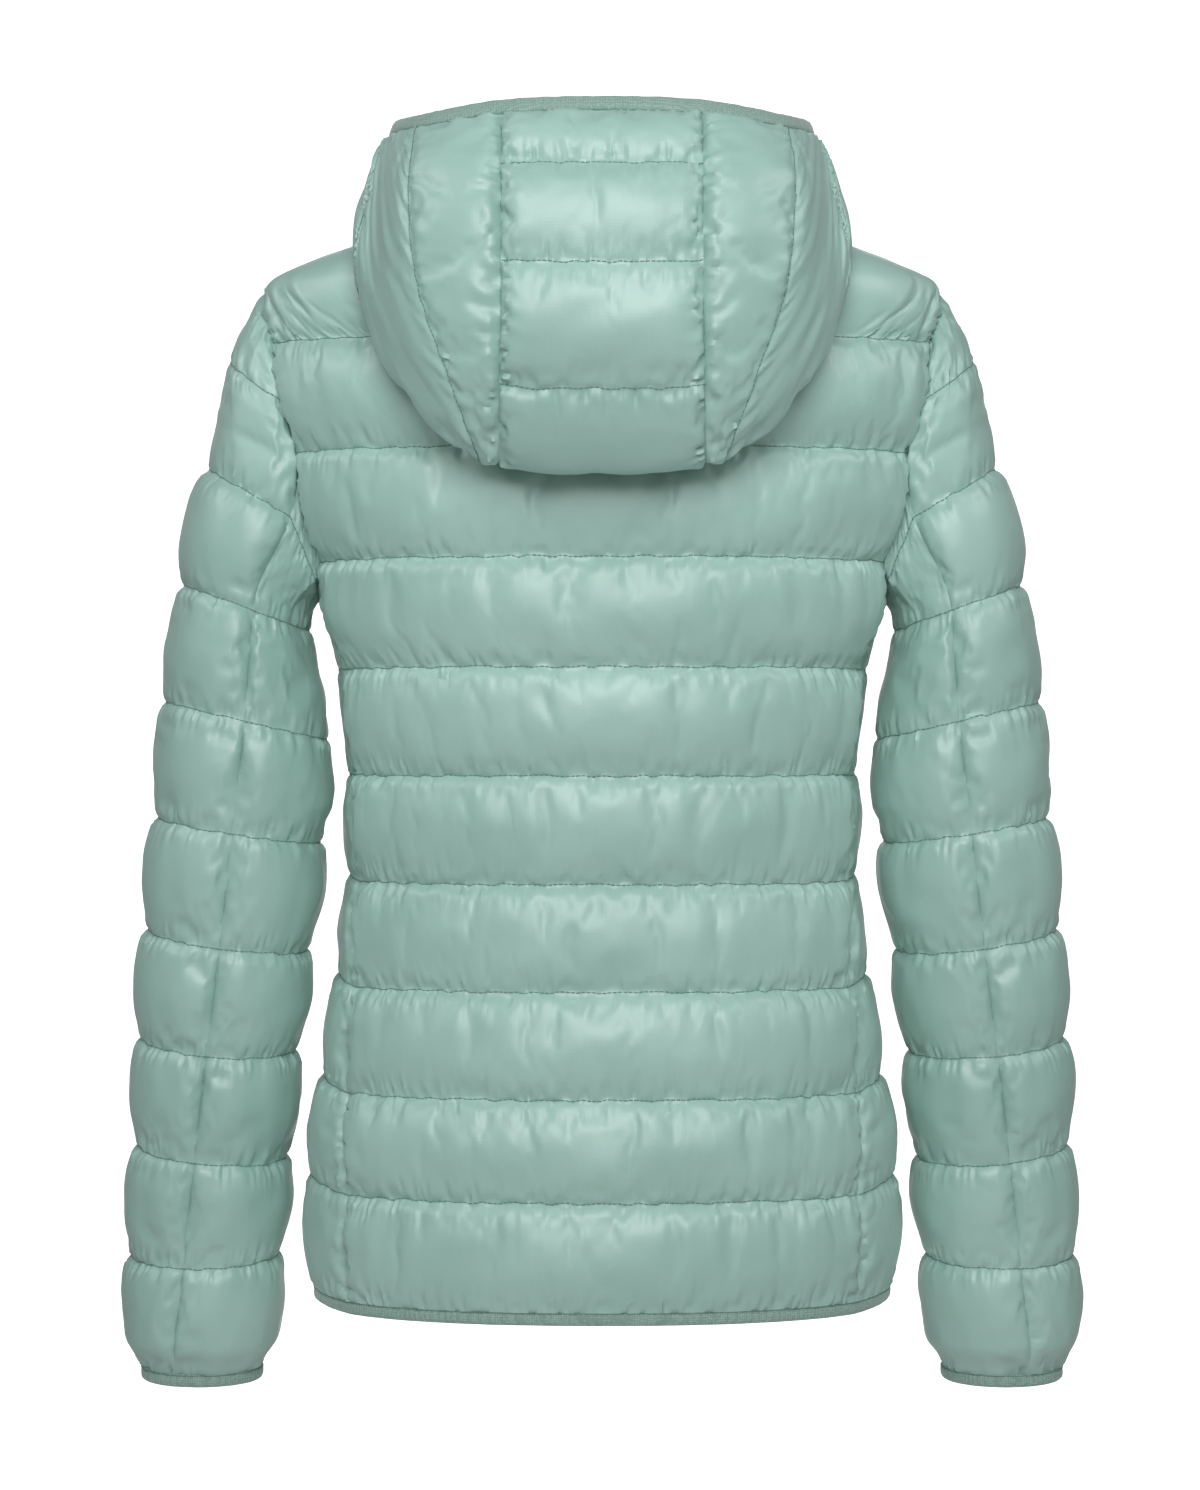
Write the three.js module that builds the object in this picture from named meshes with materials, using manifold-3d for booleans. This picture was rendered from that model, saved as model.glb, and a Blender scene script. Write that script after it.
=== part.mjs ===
// A hooded light down jacket, filled out as if worn. Millimetres, +Z up, the wearer faces -Y.
// The origin is at the centre of the neck base. Left is the wearer's left, on +X.
import * as THREE from "three";
import Module from "manifold-3d";

const wasm = await Module();
wasm.setup();

// Driving sizes.
const seamGap = 0.3; // between the cut edges of two pieces at a seam
const wall = 3; // shell, down and lining where stitching holds them together
const roundness = 2.3; // exponent of the body's rounded sections
const rampWidth = 15; // over which a channel rises from a seam along its ends
const bodyPuff = 9;
const sidePuff = 5;
const sleevePuff = 7;
const hoodPuff = 8;
const bindingWidth = 8.5;
const bindingThickness = 3;
const zipHalf = 7.2; // from the middle of the zip to the front edges
const standTop = { y: -98, z: 8 };
const tape = { inner: 0.4, thickness: 1.6, recess: 0.6 };

// The body at the level of its stitching, from the hem to the neck.
const bodySections = [
  { z: -640, half: 171, back: 118, front: 122 },
  { z: -625, half: 172, back: 118, front: 122 },
  { z: -560, half: 173, back: 118, front: 122 },
  { z: -500, half: 165, back: 115, front: 118 },
  { z: -440, half: 156, back: 110, front: 112 },
  { z: -380, half: 149.5, back: 106, front: 108 },
  { z: -320, half: 150, back: 108, front: 110 },
  { z: -290, half: 152, back: 111, front: 114 },
  { z: -256, half: 157, back: 113, front: 117 },
  { z: -230, half: 163, back: 115, front: 119 },
  { z: -195, half: 174, back: 116, front: 120 },
  { z: -160, half: 187, back: 115.5, front: 118 },
  { z: -130, half: 195.5, back: 114, front: 116 },
  { z: -105, half: 202.5, back: 112, front: 112 },
  { z: -68, half: 203, back: 105.5, front: 104 },
  { z: -50, half: 202.5, back: 101, front: 100 },
  { z: -36, half: 200, back: 96, front: 96 },
  { z: -8, half: 141.7, back: 78, front: 69.5 },
  { z: 12, half: 100, back: 64, front: 50 },
  { z: 24, half: 75, back: 58, front: 40 },
];

// Lines of stitching round the body. Lift is how far a line rises past the side seams.
const bodyLines = [
  { z: -627.3, lift: 3 },
  { z: -565, lift: 6.5 },
  { z: -506.4, lift: 6.5 },
  { z: -445, lift: 6 },
  { z: -383.3, lift: 5 },
  { z: -320.8, lift: 1 },
  { z: -258.1, lift: 0 },
  { z: -195, lift: 0 },
  { z: -131.5, lift: 0 },
  { z: -66.6, lift: 0 },
];

// Distance of the side seam from the middle of the back.
const sideSeam = [
  { z: -640, x: 147.5 },
  { z: -506, x: 147.9 },
  { z: -445, x: 144 },
  { z: -383, x: 142.6 },
  { z: -320, x: 144.4 },
  { z: -277, x: 147.9 },
  { z: -256, x: 150.8 },
  { z: -229, x: 159 },
  { z: -195, x: 166 },
];

// The armhole from the shoulder, down the back, under the arm and up the front.
const armhole = [
  { z: -36, x: 200, side: 0 },
  { z: -47, x: 198, side: 1 },
  { z: -57, x: 195, side: 1 },
  { z: -66.6, x: 192.5, side: 1 },
  { z: -85, x: 190, side: 1 },
  { z: -104, x: 187, side: 1 },
  { z: -118, x: 183, side: 1 },
  { z: -131.5, x: 179.5, side: 1 },
  { z: -142, x: 177.6, side: 1 },
  { z: -165, x: 173.5, side: 1 },
  { z: -195, x: 166, side: 1 },
  { z: -204, x: 171, side: 1 },
  { z: -207, x: 172, side: 0 },
  { z: -203, x: 171, side: -1 },
  { z: -190, x: 166, side: -1 },
  { z: -166, x: 167, side: -1 },
  { z: -142, x: 170, side: -1 },
  { z: -131.5, x: 172, side: -1 },
  { z: -118, x: 175, side: -1 },
  { z: -104, x: 178, side: -1 },
  { z: -85, x: 182.5, side: -1 },
  { z: -66.6, x: 188, side: -1 },
  { z: -57, x: 191.5, side: -1 },
  { z: -47, x: 196, side: -1 },
];

// The neck seam, from the middle of the back over the shoulder seam to the zip.
const neckline = [
  { x: 0, z: 12, side: 1 },
  { x: 26, z: 13, side: 1 },
  { x: 50, z: 16.5, side: 1 },
  { x: 66, z: 20, side: 1 },
  { x: 75, z: 24, side: 0 },
  { x: 74, z: 14, side: -1 },
  { x: 66, z: 1, side: -1 },
  { x: 52, z: -14, side: -1 },
  { x: 30, z: -28, side: -1 },
  { x: zipHalf, z: -35, side: -1 },
];
// The place of each half section of the hood on the neck seam.
const hoodOnNeck = [0, 1, 2, 2.5, 3, 3.25, 3.5, 3.75, 4, 5, 5.5, 6, 7, 8, 9];
const shoulderAt = 4;

// Rings of the sleeve at its lines of stitching. Line 0 is the top of the sleeve cap.
const sleeveRings = [
  { line: 0, x: 183, y: 0, z: -72, half: 40, depth: 48, tilt: 65, lean: 0, back: 68, front: 68 },
  { line: 1, x: 193, y: 0, z: -107.5, half: 40, depth: 54, tilt: 45, lean: 0, back: 95, front: 95 },
  { line: 2, x: 201.5, y: 0, z: -163.2, half: 43, depth: 58, tilt: 33, lean: 0, back: 111, front: 115 },
  { line: 3, x: 213, y: 2, z: -221, half: 40, depth: 56, tilt: 19.5, lean: 0, back: 103, front: 110 },
  { line: 4, x: 213, y: 4, z: -288.3, half: 50.4, depth: 54, tilt: 12.6, lean: 0, back: 94, front: 102 },
  { line: 5, x: 217.4, y: 3, z: -353.7, half: 50.2, depth: 51, tilt: 8.6, lean: 2, back: 90, front: 98 },
  { line: 6, x: 224.7, y: -2, z: -419.4, half: 49.3, depth: 48, tilt: 7.7, lean: 5, back: 89, front: 97 },
  { line: 7, x: 231, y: -8, z: -482.4, half: 47.6, depth: 45, tilt: 5.1, lean: 7, back: 86, front: 95 },
  { line: 8, x: 235.5, y: -15, z: -547.2, half: 46.1, depth: 43, tilt: 5.2, lean: 7, back: 81, front: 92 },
  { line: 9, x: 240.6, y: -23, z: -610.8, half: 45.6, depth: 41, tilt: 0, lean: 7, back: 78, front: 90 },
  { line: 9.65, x: 242.5, y: -28, z: -657, half: 44, depth: 39.5, tilt: 0, lean: 6, back: 72, front: 86 },
  { line: 10, x: 243, y: -31, z: -680, half: 34.2, depth: 27, tilt: 0, lean: 5, back: 69, front: 84 },
];
const jointLine = 1.6; // where the sleeve's own seams meet the armhole

// The hood from the neck seam, down behind the back and up again to its face edge.
const hoodSections = [
  {
    roll: [0, 93, 17], lie: [0, 129, -58], fold: [0, 148, -146],
    low: [0, 180, -110], out: [0, 191, -50], upper: [0, 179, 12], edge: [0, 150, 54],
  },
  {
    roll: [55, 84, 20], lie: [57, 126, -56], fold: [58, 145, -141],
    low: [57, 177, -107], out: [56, 187, -48], upper: [56, 175, 12], edge: [56, 147, 52.5],
  },
  {
    roll: [78, 66, 23], lie: [94, 112, -44], fold: [99, 134, -114],
    low: [103, 154, -86], out: [105, 162, -38], upper: [104, 153, 12], edge: [102, 122, 49],
  },
  {
    roll: [90, 42, 31], lie: [119, 95, -8], fold: [128, 110, -66],
    low: [131, 116, -44], out: [127, 110, -12], upper: [123, 98, 22], edge: [119, 80, 51],
  },
  {
    roll: [91, 13, 35], lie: [122, 48, 21], fold: [139, 73, -8],
    low: [138, 74, 3], out: [134, 70, 15], upper: [129, 62, 34], edge: [121, 46, 50],
  },
  {
    roll: [84, -24, 25], lie: [98, -18, 25], fold: [112, -10, 28],
    low: [118, -8, 31], out: [121, -7, 35], upper: [118, -6, 41], edge: [110, -6, 46],
  },
  {
    roll: [56, -77, -8], lie: [64, -84, 0], fold: [71, -89, 8],
    low: [73, -90, 12], out: [75, -90, 18], upper: [75, -87, 25], edge: [71, -81, 33],
  },
  {
    roll: [zipHalf, -97, -28], lie: [zipHalf, -97.5, -20], fold: [zipHalf, -98, -12],
    low: [zipHalf, -98, -9], out: [zipHalf, -98, -5], upper: [zipHalf, -98, 1], edge: [zipHalf, -98, 8],
  },
];
const hoodLevels = ["roll", "lie", "fold", "low", "out", "upper", "edge"];
const hoodCentreLines = [0, 1, 1.9, 2.6, 4.1, 5.22, 6.18, 7]; // cross lines of the middle strip, by level
const hoodSideLines = [
  { level: 0, first: 1.7, second: 3.3, third: 5.2 },
  { level: 3, first: 1.18, second: 3.4, third: 5.2 },
  { level: 4, first: 1.5, second: 3.5, third: 5.2 },
  { level: 5, first: 1.88, second: 3.55, third: 5.2 },
  { level: 6, first: 2.03, second: 3.5, third: 5.2 },
  { level: 7, first: 2, second: 3.5, third: 5.2 },
];
const hoodTop = 7; // the level of the face edge

const degrees = Math.PI / 180;
const lerp = THREE.MathUtils.lerp;
const clamp = THREE.MathUtils.clamp;
const vec = (x, y, z) => new THREE.Vector3(x, y, z);
const mixed = (a, b, t) => a.clone().lerp(b, t);

// A column of a table at a key, by a cubic that never overshoots its rows.
function read(table, key, at, column) {
  const last = table.length - 1;
  let k = 0;
  while (k < last - 1 && at > table[k + 1][key]) k += 1;
  const slope = (i) => (table[i + 1][column] - table[i][column]) / (table[i + 1][key] - table[i][key]);
  const tangent = (i) => {
    if (i === 0) return slope(0);
    if (i === last) return slope(last - 1);
    const a = slope(i - 1), b = slope(i);
    return a * b <= 0 ? 0 : (2 * a * b) / (a + b);
  };
  const h = table[k + 1][key] - table[k][key];
  const t = clamp((at - table[k][key]) / h, 0, 1);
  const from = table[k][column], to = table[k + 1][column];
  const a = tangent(k) * h, b = tangent(k + 1) * h;
  return from + t * (a + t * (3 * (to - from) - 2 * a - b + t * (2 * (from - to) + a + b)));
}

// A point at a whole or part index of a chain of points, along its straight pieces.
function along(points, at) {
  const k = clamp(Math.floor(at), 0, points.length - 2);
  return mixed(points[k], points[k + 1], at - k);
}

// A smooth curve through a chain of points, by index.
function smooth(points, at) {
  const last = points.length - 1;
  const k = clamp(Math.floor(at), 0, last - 1);
  const t = at - k;
  const beyond = (end, inner) => end.clone().multiplyScalar(2).sub(inner);
  const before = k > 0 ? points[k - 1] : beyond(points[0], points[1]);
  const after = k + 2 <= last ? points[k + 2] : beyond(points[last], points[last - 1]);
  const cubic = (a, b, c, d) =>
    b + 0.5 * t * (c - a + t * (2 * a - 5 * b + 4 * c - d + t * (3 * (b - c) + d - a)));
  const [p, q] = [points[k], points[k + 1]];
  return vec(
    cubic(before.x, p.x, q.x, after.x),
    cubic(before.y, p.y, q.y, after.y),
    cubic(before.z, p.z, q.z, after.z),
  );
}

// How far a channel stands out between its two lines, from 0 at each line to about 1.
// Its fullest part hangs a little low.
const channel = (t) => Math.sin(Math.PI * clamp(t, 0, 1) ** 0.82) ** 0.7;
const ramp = (distance) => Math.sqrt(1 - (1 - clamp(distance / rampWidth, 0, 1)) ** 2);

// Fills between two runs of vertices, each with its place along the side that they share.
function triangulateStrip(a, b, faces) {
  let i = 0, j = 0;
  while (i < a.length - 1 || j < b.length - 1) {
    const aheadOfB = j === b.length - 1 || (i < a.length - 1 && a[i + 1].place <= b[j + 1].place);
    if (aheadOfB) {
      faces.push([a[i].vertex, b[j].vertex, a[i + 1].vertex]);
      i += 1;
    } else {
      faces.push([a[i].vertex, b[j].vertex, b[j + 1].vertex]);
      j += 1;
    }
  }
}

function meshOf(name, points, faces, material, mirrored) {
  const positions = points.flatMap((p) => [mirrored ? -p.x : p.x, p.y, p.z]);
  const signed = faces.reduce(
    (sum, [a, b, c]) => sum + points[a].dot(points[b].clone().cross(points[c])), 0);
  const flip = signed < 0 !== Boolean(mirrored);
  const index = faces.flatMap(([a, b, c]) => (flip ? [a, c, b] : [a, b, c]));
  const geometry = new THREE.BufferGeometry();
  geometry.setAttribute("position", new THREE.Float32BufferAttribute(positions, 3));
  geometry.setIndex(index);
  const mesh = new THREE.Mesh(geometry, material);
  mesh.name = name;
  return mesh;
}

// A panel of the garment: a grid of points at stitching level, puffed out over a plain inside.
// base[row][column] are points, puff[row][column] heights. Rims holds a direction for an edge whose
// thickness isn't square to the panel. Inside rows and columns are the few that the inner side keeps.
function panel(cloth) {
  const { name, base, puff, outward, rims, gaps, insideRows, insideColumns, material, mirrored } = cloth;
  const rows = base.length, columns = base[0].length;
  const at = (i, j) => base[clamp(i, 0, rows - 1)][clamp(j, 0, columns - 1)];
  const normal = (i, j) => {
    if (i === 0 && rims.bottom) return rims.bottom(j);
    if (i === rows - 1 && rims.top) return rims.top(j);
    if (j === 0 && rims.start && rims.start(i)) return rims.start(i);
    if (j === columns - 1 && rims.end && rims.end(i)) return rims.end(i);
    const across = at(i, j + 1).clone().sub(at(i, j - 1));
    const up = at(i + 1, j).clone().sub(at(i - 1, j));
    return across.cross(up).normalize().multiplyScalar(outward);
  };
  const inset = (i, j, amount) => {
    const p = at(i, j).clone();
    const move = (k, l) => {
      const step = at(k, l).clone().sub(at(i, j));
      const length = step.length();
      if (length > 1e-6) p.addScaledVector(step, Math.min(amount / length, 0.45));
    };
    if (j === 0 && gaps.start(i)) move(i, 1);
    if (j === columns - 1 && gaps.end(i)) move(i, columns - 2);
    if (i === 0 && gaps.bottom) move(1, j);
    if (i === rows - 1 && gaps.top(j)) move(rows - 2, j);
    return p;
  };
  const points = [], faces = [], outer = [];
  for (let i = 0; i < rows; i += 1) {
    outer.push([]);
    for (let j = 0; j < columns; j += 1) {
      outer[i].push(points.length);
      points.push(inset(i, j, seamGap / 2).addScaledVector(normal(i, j), puff[i][j]));
    }
  }
  for (let i = 0; i < rows - 1; i += 1)
    for (let j = 0; j < columns - 1; j += 1) {
      const [a, b, c, d] = [outer[i][j], outer[i][j + 1], outer[i + 1][j + 1], outer[i + 1][j]];
      if ((i + j) % 2) faces.push([a, b, c], [a, c, d]);
      else faces.push([a, b, d], [b, c, d]);
    }
  const inner = new Map();
  const innerAt = (i, j) => {
    const key = i * columns + j;
    if (!inner.has(key)) {
      inner.set(key, points.length);
      points.push(inset(i, j, seamGap * 3.2).addScaledVector(normal(i, j), -wall));
    }
    return inner.get(key);
  };
  const rim = [
    Array.from({ length: columns }, (_, j) => [0, j]),
    Array.from({ length: rows }, (_, i) => [i, columns - 1]),
    Array.from({ length: columns }, (_, j) => [rows - 1, columns - 1 - j]),
    Array.from({ length: rows }, (_, i) => [rows - 1 - i, 0]),
  ];
  const bottomRow = insideRows[0], topRow = insideRows.at(-1);
  const firstColumn = insideColumns[0], lastColumn = insideColumns.at(-1);
  const core = [
    insideColumns.map((j) => [bottomRow, j]),
    insideRows.map((i) => [i, lastColumn]),
    [...insideColumns].reverse().map((j) => [topRow, j]),
    [...insideRows].reverse().map((i) => [i, firstColumn]),
  ];
  const places = [([, j]) => j, ([i]) => i, ([, j]) => columns - 1 - j, ([i]) => rows - 1 - i];
  rim.forEach((side, k) => {
    const located = (list) => list.map((at) => ({ vertex: innerAt(...at), place: places[k](at) }));
    triangulateStrip(located(side), located(core[k]), faces);
    const from = side.map(([i, j]) => innerAt(i, j));
    for (let n = 0; n < side.length - 1; n += 1) {
      const a = outer[side[n][0]][side[n][1]], b = outer[side[n + 1][0]][side[n + 1][1]];
      faces.push([b, a, from[n]], [b, from[n], from[n + 1]]);
    }
  });
  for (let r = 0; r < insideRows.length - 1; r += 1)
    for (let c = 0; c < insideColumns.length - 1; c += 1) {
      const corner = (k, l) => innerAt(insideRows[r + k], insideColumns[c + l]);
      const [a, b, d, e] = [corner(0, 0), corner(0, 1), corner(1, 0), corner(1, 1)];
      faces.push([a, d, b], [b, d, e]);
    }
  return meshOf(name, points, faces, material, mirrored);
}

// A bar of four-cornered sections, open with capped ends, or closed into a ring.
function bar(name, sections, closed, material, mirrored) {
  const points = sections.flat(), faces = [];
  const sides = sections[0].length, count = sections.length;
  for (let i = 0; i < (closed ? count : count - 1); i += 1)
    for (let k = 0; k < sides; k += 1) {
      const next = (i + 1) % count, turn = (k + 1) % sides;
      const [a, b, c, d] = [i * sides + k, next * sides + k, next * sides + turn, i * sides + turn];
      faces.push([a, b, c], [a, c, d]);
    }
  if (!closed)
    for (let k = 1; k < sides - 1; k += 1) {
      const end = (count - 1) * sides;
      faces.push([0, k, k + 1], [end, end + k + 1, end + k]);
    }
  return meshOf(name, points, faces, material, mirrored);
}

// Body.
function bodyPoint(angle, z) {
  const power = 2 / roundness, s = Math.sin(angle), c = Math.cos(angle);
  const half = read(bodySections, "z", z, "half");
  const depth = read(bodySections, "z", z, c > 0 ? "back" : "front");
  return vec(half * Math.abs(s) ** power * Math.sign(s), depth * Math.abs(c) ** power * Math.sign(c), z);
}

function bodyAngle(x, z, side) {
  const angle = Math.asin(clamp(x / read(bodySections, "z", z, "half"), 0, 1) ** (roundness / 2));
  if (side === 0) return Math.PI / 2;
  return side > 0 ? angle : Math.PI - angle;
}

const armholeAngles = armhole.map(({ x, z, side }) => bodyAngle(x, z, side));
const armholePoints = armhole.map(({ z }, i) => bodyPoint(armholeAngles[i], z));
const armholeCentre = armholePoints
  .reduce((sum, p) => sum.add(p), vec(0, 0, 0))
  .divideScalar(armhole.length);
const neckAngles = neckline.map(({ x, z, side }) => bodyAngle(x, z, side));
const neckPoints = neckline.map(({ z }, i) => bodyPoint(neckAngles[i], z));
const closedArmhole = [...armholePoints, armholePoints[0]];
const closedAngles = [...armholeAngles, armholeAngles[0]];

const armholeRim = (at) => {
  const p = along(closedArmhole, at).sub(armholeCentre);
  return vec(0, p.y, p.z).normalize();
};
const neckRim = (p) => vec(p.x, p.y + 15, 0).normalize();

// Rows of the lower body, four to a channel, and of the yoke, by their place on the armhole.
const quarters = [0, 0.25, 0.5, 0.75];
const lowerRows = bodyLines.slice(0, 7).flatMap((line, k) => {
  const next = bodyLines[k + 1];
  return (k < 6 ? quarters : [0]).map((t) => (
    { t, z: lerp(line.z, next.z, t), lift: lerp(line.lift, next.lift, t) }));
});
const frontTop = armhole.length;
const armRow = (t, at, channelIndex) => ({
  t, at, z: lerp(bodyLines[channelIndex].z, (bodyLines[channelIndex + 1] ?? { z: -36 }).z, t), lift: 0,
});
const seamRows = (steps) => steps.map((t) => ({ t, z: lerp(-258.1, -195, t), lift: 0 }));
const backRows = [
  ...lowerRows,
  ...seamRows([0.25, 0.5, 0.75]),
  ...[[0, 10], [0.24, 9.5], [0.47, 9], [0.65, 8.5], [0.83, 8]].map(([t, at]) => armRow(t, at, 7)),
  ...[[0, 7], [0.21, 6], [0.42, 5], [0.72, 4]].map(([t, at]) => armRow(t, at, 8)),
  ...[[0, 3], [0.33, 2], [0.67, 1], [1, 0]].map(([t, at]) => armRow(t, at, 9)),
];
const seamTop = 0.54; // of a front's channel, level with the top of the side seam at its edge
const frontRows = [
  ...lowerRows,
  ...[0.25, 0.5, 0.75].map((s) => ({
    t: s * seamTop, z: lerp(-258.1, -195, s * seamTop), seamZ: lerp(-258.1, -195, s), lift: 0,
  })),
  ...[[seamTop, 10], [0.68, 11], [0.8, 12], [0.9, 13]].map(([t, at]) => armRow(t, at, 6)),
  ...[[0, 14], [0.2, 14.5], [0.4, 15], [0.6, 15.5], [0.82, 16]].map(([t, at]) => armRow(t, at, 7)),
  ...[[0, 17], [0.21, 18], [0.42, 19], [0.72, 20]].map(([t, at]) => armRow(t, at, 8)),
  ...[[0, 21], [0.33, 22], [0.67, 23], [1, 24]].map(([t, at]) => armRow(t, at, 9)),
];
const backSpread = [0, 0.045, 0.12, 0.25, 0.4, 0.55, 0.7, 0.85, 1];
const frontSpread = [0, 0.04, 0.12, 0.26, 0.42, 0.6, 0.78, 0.92, 1];

// The edge of a row as angle, height and point.
function rowEdge(row) {
  if (row.at === undefined) {
    const z = row.seamZ ?? row.z;
    const angle = bodyAngle(read(sideSeam, "z", z, "x"), z, 1);
    return { angle, z, point: bodyPoint(angle, z) };
  }
  const k = Math.min(Math.floor(row.at), armhole.length - 1);
  const point = along(closedArmhole, row.at);
  return { angle: lerp(closedAngles[k], closedAngles[k + 1], row.at - k), z: point.z, point };
}

// Half of the back, or one front, from its edge to the middle.
function bodyGrid(rows, spread, front) {
  const half = (list) => (front ? list.slice(shoulderAt) : list.slice(0, shoulderAt + 1).reverse());
  const chain = half(neckPoints), chainAngles = half(neckAngles);
  const shoulderColumns = spread.length - 1 - (chain.length - 1);
  const top = spread.map((_, j) => {
    if (j <= shoulderColumns)
      return { angle: Math.PI / 2, point: mixed(armholePoints[0], chain[0], j / shoulderColumns) };
    return { angle: chainAngles[j - shoulderColumns], point: chain[j - shoulderColumns] };
  });
  const place = (row, j) => {
    const u = spread[j], edge = rowEdge(row);
    const middle = (z) => (front ? bodyAngle(zipHalf, z, -1) : 0);
    const yokeTop = bodyLines.at(-1).z;
    const fade = (1 - u) ** 4;
    if (row.z <= yokeTop || row.t === 0) {
      const turn = clamp((lerp(edge.angle, middle(row.z), u) - edge.angle) / 0.6, 0, 1);
      const lift = front ? row.lift * Math.sin((turn * Math.PI) / 2) : 0;
      const z = lerp(row.z, edge.z, row.at === undefined && row.seamZ === undefined ? 1 : fade) + lift;
      const angle = lerp(edge.angle, middle(row.z), u);
      const drift = edge.point.clone().sub(bodyPoint(edge.angle, edge.z));
      return bodyPoint(angle, z).addScaledVector(drift, fade);
    }
    if (row.t === 1) return top[j].point.clone();
    const yoke = { angle: lerp(closedAngles[front ? 21 : 3], middle(yokeTop), u), z: yokeTop };
    const angle = lerp(yoke.angle, top[j].angle, row.t);
    const z = lerp(yoke.z, top[j].point.z, row.t);
    const straight = lerp(closedAngles[front ? 21 : 3], Math.PI / 2, row.t);
    const drift = edge.point.clone().sub(bodyPoint(straight, lerp(yokeTop, -36, row.t)));
    return bodyPoint(angle, z).addScaledVector(drift, fade);
  };
  return rows.map((row) => spread.map((_, j) => place(row, j)));
}

function edgeDistances(row) {
  const run = [0];
  for (let j = 1; j < row.length; j += 1) run.push(run[j - 1] + row[j].distanceTo(row[j - 1]));
  return run.map((d) => Math.min(d, run.at(-1) - d));
}

// Nothing puffs out where body and sleeve meet under the arm.
const underarmCalm = (p) => clamp((-212 - p.z) / 30, 0, 1);

function bodyPuffs(grid, rows, height) {
  return grid.map((line, i) => {
    const reach = edgeDistances(line);
    return line.map((p, j) => {
      const near = clamp((Math.abs(p.x) - 150) / 10, 0, 1) * clamp(1 - (Math.abs(p.y) - 48) / 15, 0, 1);
      const calm = p.z > -250 && rows !== backRows ? lerp(1, underarmCalm(p), near) : 1;
      return height(i, j) * channel(rows[i].t) * ramp(reach[j]) * calm;
    });
  });
}

const everyOther = (count, step) => {
  const list = [];
  for (let i = 1; i < count - 2; i += step) list.push(i);
  return [...list, count - 2];
};

function back(material) {
  const half = bodyGrid(backRows, backSpread, false);
  const base = half.map((row) => [...row, ...row.slice(0, -1).reverse().map((p) => vec(-p.x, p.y, p.z))]);
  const columns = base[0].length, last = columns - 1;
  const onArm = (i) => backRows[i].at !== undefined;
  const rimAt = (i, mirrorSign) => {
    if (!onArm(i)) return null;
    const m = armholeRim(backRows[i].at);
    return vec(m.x * mirrorSign, m.y, m.z);
  };
  const neckFrom = backSpread.length - 1 - shoulderAt;
  const onShoulder = (j) => j < neckFrom || j > last - neckFrom;
  return panel({
    name: "back", base, outward: 1, material,
    puff: bodyPuffs(base, backRows, () => bodyPuff),
    rims: {
      start: (i) => rimAt(i, 1), end: (i) => rimAt(i, -1),
      top: (j) => (onShoulder(j) ? shoulderRim(base.at(-1)[j]) : neckRim(base.at(-1)[j])),
    },
    gaps: { start: (i) => !onArm(i), end: (i) => !onArm(i), bottom: true, top: onShoulder },
    insideRows: everyOther(base.length, 3), insideColumns: everyOther(columns, 3),
  });
}

// The shoulder seam's thickness is square to the slope of the shoulder.
const shoulderRim = (p) => vec(Math.sign(p.x) * 0.43, 0, 0.9).normalize();

function front(side, material) {
  const base = bodyGrid(frontRows, frontSpread, true);
  const neckFrom = frontSpread.length - 1 - (neckline.length - 1 - shoulderAt);
  const onArm = (i) => frontRows[i].at !== undefined;
  const armRows = frontRows.map((_, i) => i).filter((i) => onArm(i) && i < frontRows.length - 1);
  const pressed = (z) => lerp(1, 0.5, clamp((z + 330) / 30, 0, 1)); // where the sleeve lies against it
  const height = (i, j) =>
    lerp(sidePuff * pressed(frontRows[i].z), bodyPuff, clamp(frontSpread[j] * 2 - 0.3, 0, 1));
  return panel({
    name: "front_" + side, base, outward: -1, material, mirrored: side === "right",
    puff: bodyPuffs(base, frontRows, height),
    rims: {
      start: (i) => (onArm(i) ? armholeRim(frontRows[i].at % frontTop) : null),
      top: (j) => (j < neckFrom ? shoulderRim(base.at(-1)[j]) : neckRim(base.at(-1)[j])),
    },
    gaps: { start: (i) => !onArm(i), end: () => true, bottom: true, top: (j) => j < neckFrom },
    insideRows: everyOther(base.length, 3).filter((i) => !onArm(i)).concat(armRows),
    insideColumns: everyOther(frontSpread.length, 2),
  });
}

// Sleeves.
function sleevePoint(angle, line) {
  const get = (column) => read(sleeveRings, "line", line, column);
  const tilt = get("tilt") * degrees, lean = get("lean") * degrees;
  const outwards = vec(Math.cos(tilt), 0, Math.sin(tilt)).multiplyScalar(get("half") * Math.cos(angle));
  const backwards = vec(0, Math.cos(lean), -Math.sin(lean)).multiplyScalar(get("depth") * Math.sin(angle));
  return vec(get("x"), get("y"), get("z")).add(outwards).add(backwards);
}
const seamAngle = (line, column) => read(sleeveRings, "line", line, column) * degrees;

// Where a line of the sleeve meets the armhole, as a place on the armhole, for the back and the front.
const armholeStops = [
  { line: 0, back: 3, front: 21 },
  { line: 0.5, back: 4, front: 20 },
  { line: 1, back: 5, front: 19 },
  { line: 1.25, back: 6, front: 18 },
  { line: 1.45, back: 7, front: 17 },
  { line: jointLine, back: 8, front: 16 },
];
function stopAt(line, side) {
  let k = 0;
  while (k < armholeStops.length - 2 && line > armholeStops[k + 1].line) k += 1;
  const a = armholeStops[k], b = armholeStops[k + 1];
  return lerp(a[side], b[side], (line - a.line) / (b.line - a.line));
}
const apart = vec(seamGap, 0, 0);
const sleeveArmhole = (at) => along(closedArmhole, at).add(apart);

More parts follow.
